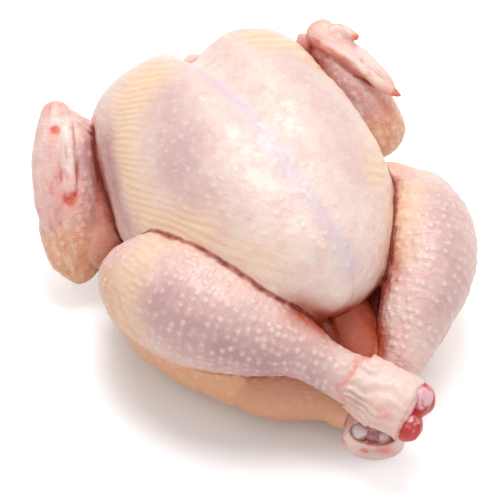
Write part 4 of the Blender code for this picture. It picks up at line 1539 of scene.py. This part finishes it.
# The leg bones: a shaft up each drumstick, and at the cut hock two rounded knuckles
# under wet gristle, red and pink on the right leg and grey-lavender on the left, where
# a small third one lies between them.
# Each bone: rows of its shaft, the line that its knuckles lie on, the way its cut end
# faces, and the middle and radii of each knuckle: across both, the way it faces, along.
BONES = {
    "leg_bone_over": (
        (
            (-0.0540, -0.0180, 0.0590, 0.0060, 0.0060),
            (-0.0340, -0.0470, 0.0565, 0.0042, 0.0042),
            (-0.0110, -0.0780, 0.0475, 0.0044, 0.0044),
            (0.0080, -0.1030, 0.0430, 0.0075, 0.0070),
            (0.0150, -0.1130, 0.0415, 0.0080, 0.0070),
        ),
        OVER_KNUCKLE_LINE,
        OVER_HOCK_FACING,
        (
            ((0.0188, -0.1080, 0.0454), (0.0094, 0.0080, 0.0088)),
            ((0.0088, -0.1156, 0.0384), (0.0084, 0.0072, 0.0079)),
        ),
    ),
    "leg_bone_under": (
        (
            (0.0620, -0.0240, 0.0510, 0.0060, 0.0060),
            (0.0430, -0.0560, 0.0430, 0.0042, 0.0042),
            (0.0180, -0.0780, 0.0275, 0.0042, 0.0042),
            (0.0010, -0.0940, 0.0190, 0.0065, 0.0060),
            (-0.0035, -0.1025, 0.0195, 0.0075, 0.0060),
        ),
        (0.780, -0.620, -0.080),
        UNDER_HOCK_FACING,
        (
            ((-0.0082, -0.0962, 0.0222), (0.0048, 0.0046, 0.0050)),
            ((-0.0025, -0.1005, 0.0200), (0.0030, 0.0030, 0.0030)),
            ((0.0030, -0.1030, 0.0205), (0.0056, 0.0050, 0.0050)),
        ),
    ),
}
# The looks of each bone: pale middle, dark edge, slot, the side on which it is palest,
# and how much darker each knuckle is. The pale middle facing that side is partly a painted
# highlight, and the dark of the sides turned away partly painted shade over the real red
# at the edges.
BONE_LOOKS = {
    "leg_bone_over": ((234, 182, 192), (198, 46, 42), "red_knuckle", (0.10, -0.60, 0.80), (0.25, 0.60)),
    "leg_bone_under": (
        (226, 212, 216), (188, 134, 132), "grey_knuckle", (-0.40, -0.50, 0.77), (0.0, 0.75, 0.62)
    ),
}
# How fast the gristle darkens, partly as painted shade, as it turns away from the pale side
EDGE_SPREAD = 1.9
EDGE_START = 0.15
BONE_ENDS = (0.08, 0.04)
BONE_MESH = (32, 40)
KNUCKLE_MESH = (48, 32)
BONE_VOXEL = 0.0006
BONE_SMOOTHING = 3
LUMP_HEIGHT = 0.00022
LUMP_SIZE = 0.0042
# How far the gristle is drawn smooth to find the slots between the knuckles, which are
# darkened partly as painted shade, and the depth of a full one
SLOT_ROUNDS = 25
SLOT_DEPTH = 0.0005
GRISTLE_ROUGHNESS = 0.34
GRISTLE_CLEARNESS = 0.2
GRISTLE_CLEAR_RADIUS = (1.0, 0.3, 0.25)
GRISTLE_CLEAR_DEPTH = 0.003
GRISTLE_COAT = 0.35
GRISTLE_COAT_ROUGHNESS = 0.12
GRISTLE_BUMP = (0.35, 0.0008)
GRISTLE_GRAIN_SCALE = 420


def turned_to(line, facing):
    """The turn of a form that lies along a line and faces outwards."""
    line = Vector(line).normalized()
    facing = Vector(facing)
    facing = (facing - facing.dot(line) * line).normalized()
    return Matrix((facing.cross(line), facing, line)).transposed().to_4x4()


def knuckle_form(middle, radii, line, facing):
    """One rounded knuckle, turned to lie on the line of the cut hock."""
    mesh = bpy.data.meshes.new("knuckle")
    bm = bmesh.new()
    segments, rings = KNUCKLE_MESH
    bmesh.ops.create_uvsphere(bm, u_segments=segments, v_segments=rings, radius=1)
    bmesh.ops.scale(bm, vec=radii, verts=bm.verts)
    bmesh.ops.transform(bm, matrix=Matrix.Translation(middle) @ turned_to(line, facing), verts=bm.verts)
    bm.to_mesh(mesh)
    bm.free()
    return mesh


def gristle(name, pale, dark):
    """Wet gristle, pale in the middle of each knuckle, partly as a painted highlight, and dark at its edges
    and slots, partly a red stain and partly painted shade.
    """
    mixer = Recipe(name)
    stain = mixer.noise(scale=260, detail=3, roughness=0.6)
    share = mixer.maths("ADD", mixer.tone("edge"), mixer.between(stain, 0.35, 0.70, -0.25, 0.25))
    base = mixer.mix(mixer.between(share, 0.25, 0.75), colour(pale), colour(dark))
    mixer.feed(mixer.shader.inputs["Base Color"], base)
    mixer.shader.inputs["Roughness"].default_value = GRISTLE_ROUGHNESS
    mixer.set_clear(GRISTLE_CLEARNESS, GRISTLE_CLEAR_RADIUS, GRISTLE_CLEAR_DEPTH)
    mixer.set_coat(GRISTLE_COAT, GRISTLE_COAT_ROUGHNESS)
    mixer.raise_by(mixer.grain(GRISTLE_GRAIN_SCALE), *GRISTLE_BUMP)
    return mixer.material


for bone_name, (shaft, line, facing, knuckles) in BONES.items():
    pale, dark, slot, pale_side, darker = BONE_LOOKS[bone_name]
    forms = [limb_form((shaft, BONE_ENDS, UPRIGHT), *BONE_MESH)]
    for middle, radii in knuckles:
        forms.append(knuckle_form(middle, radii, line, facing))
    bone = joined(bone_name + "_gristle", forms, BONE_VOXEL, BONE_SMOOTHING)
    bone_points = vertices_of(bone.data)
    bone_normals = normals_of(bone.data)
    lumps = LUMP_HEIGHT * unevenness(bone_points, LUMP_SIZE, seed=41)
    move_vertices(bone.data, bone_points + bone_normals * lumps[:, None])
    # Pale where the gristle faces the pale side, a painted highlight in part, and dark where it turns away
    # and in the slots, partly painted shade
    turned_away = 1 - bone_normals @ (np.array(pale_side) / np.linalg.norm(pale_side))
    sunk = ((settled(bone.data, bone_points, SLOT_ROUNDS) - bone_points) * bone_normals).sum(1)
    edge = np.clip(EDGE_SPREAD * turned_away - EDGE_START, 0, 1) + smooth_step(sunk / SLOT_DEPTH)
    away = [np.linalg.norm(bone_points - np.array(middle), axis=1) for middle, _ in knuckles]
    keep_tone(bone.data, "edge", edge + np.array(darker)[np.argmin(away, axis=0)])
    bone.data.shade_smooth()
    bone.data.materials.clear()
    bone.data.materials.append(gristle(bone_name + " gristle", pale, dark))
    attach(bone, "root")
    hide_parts(bone_name)
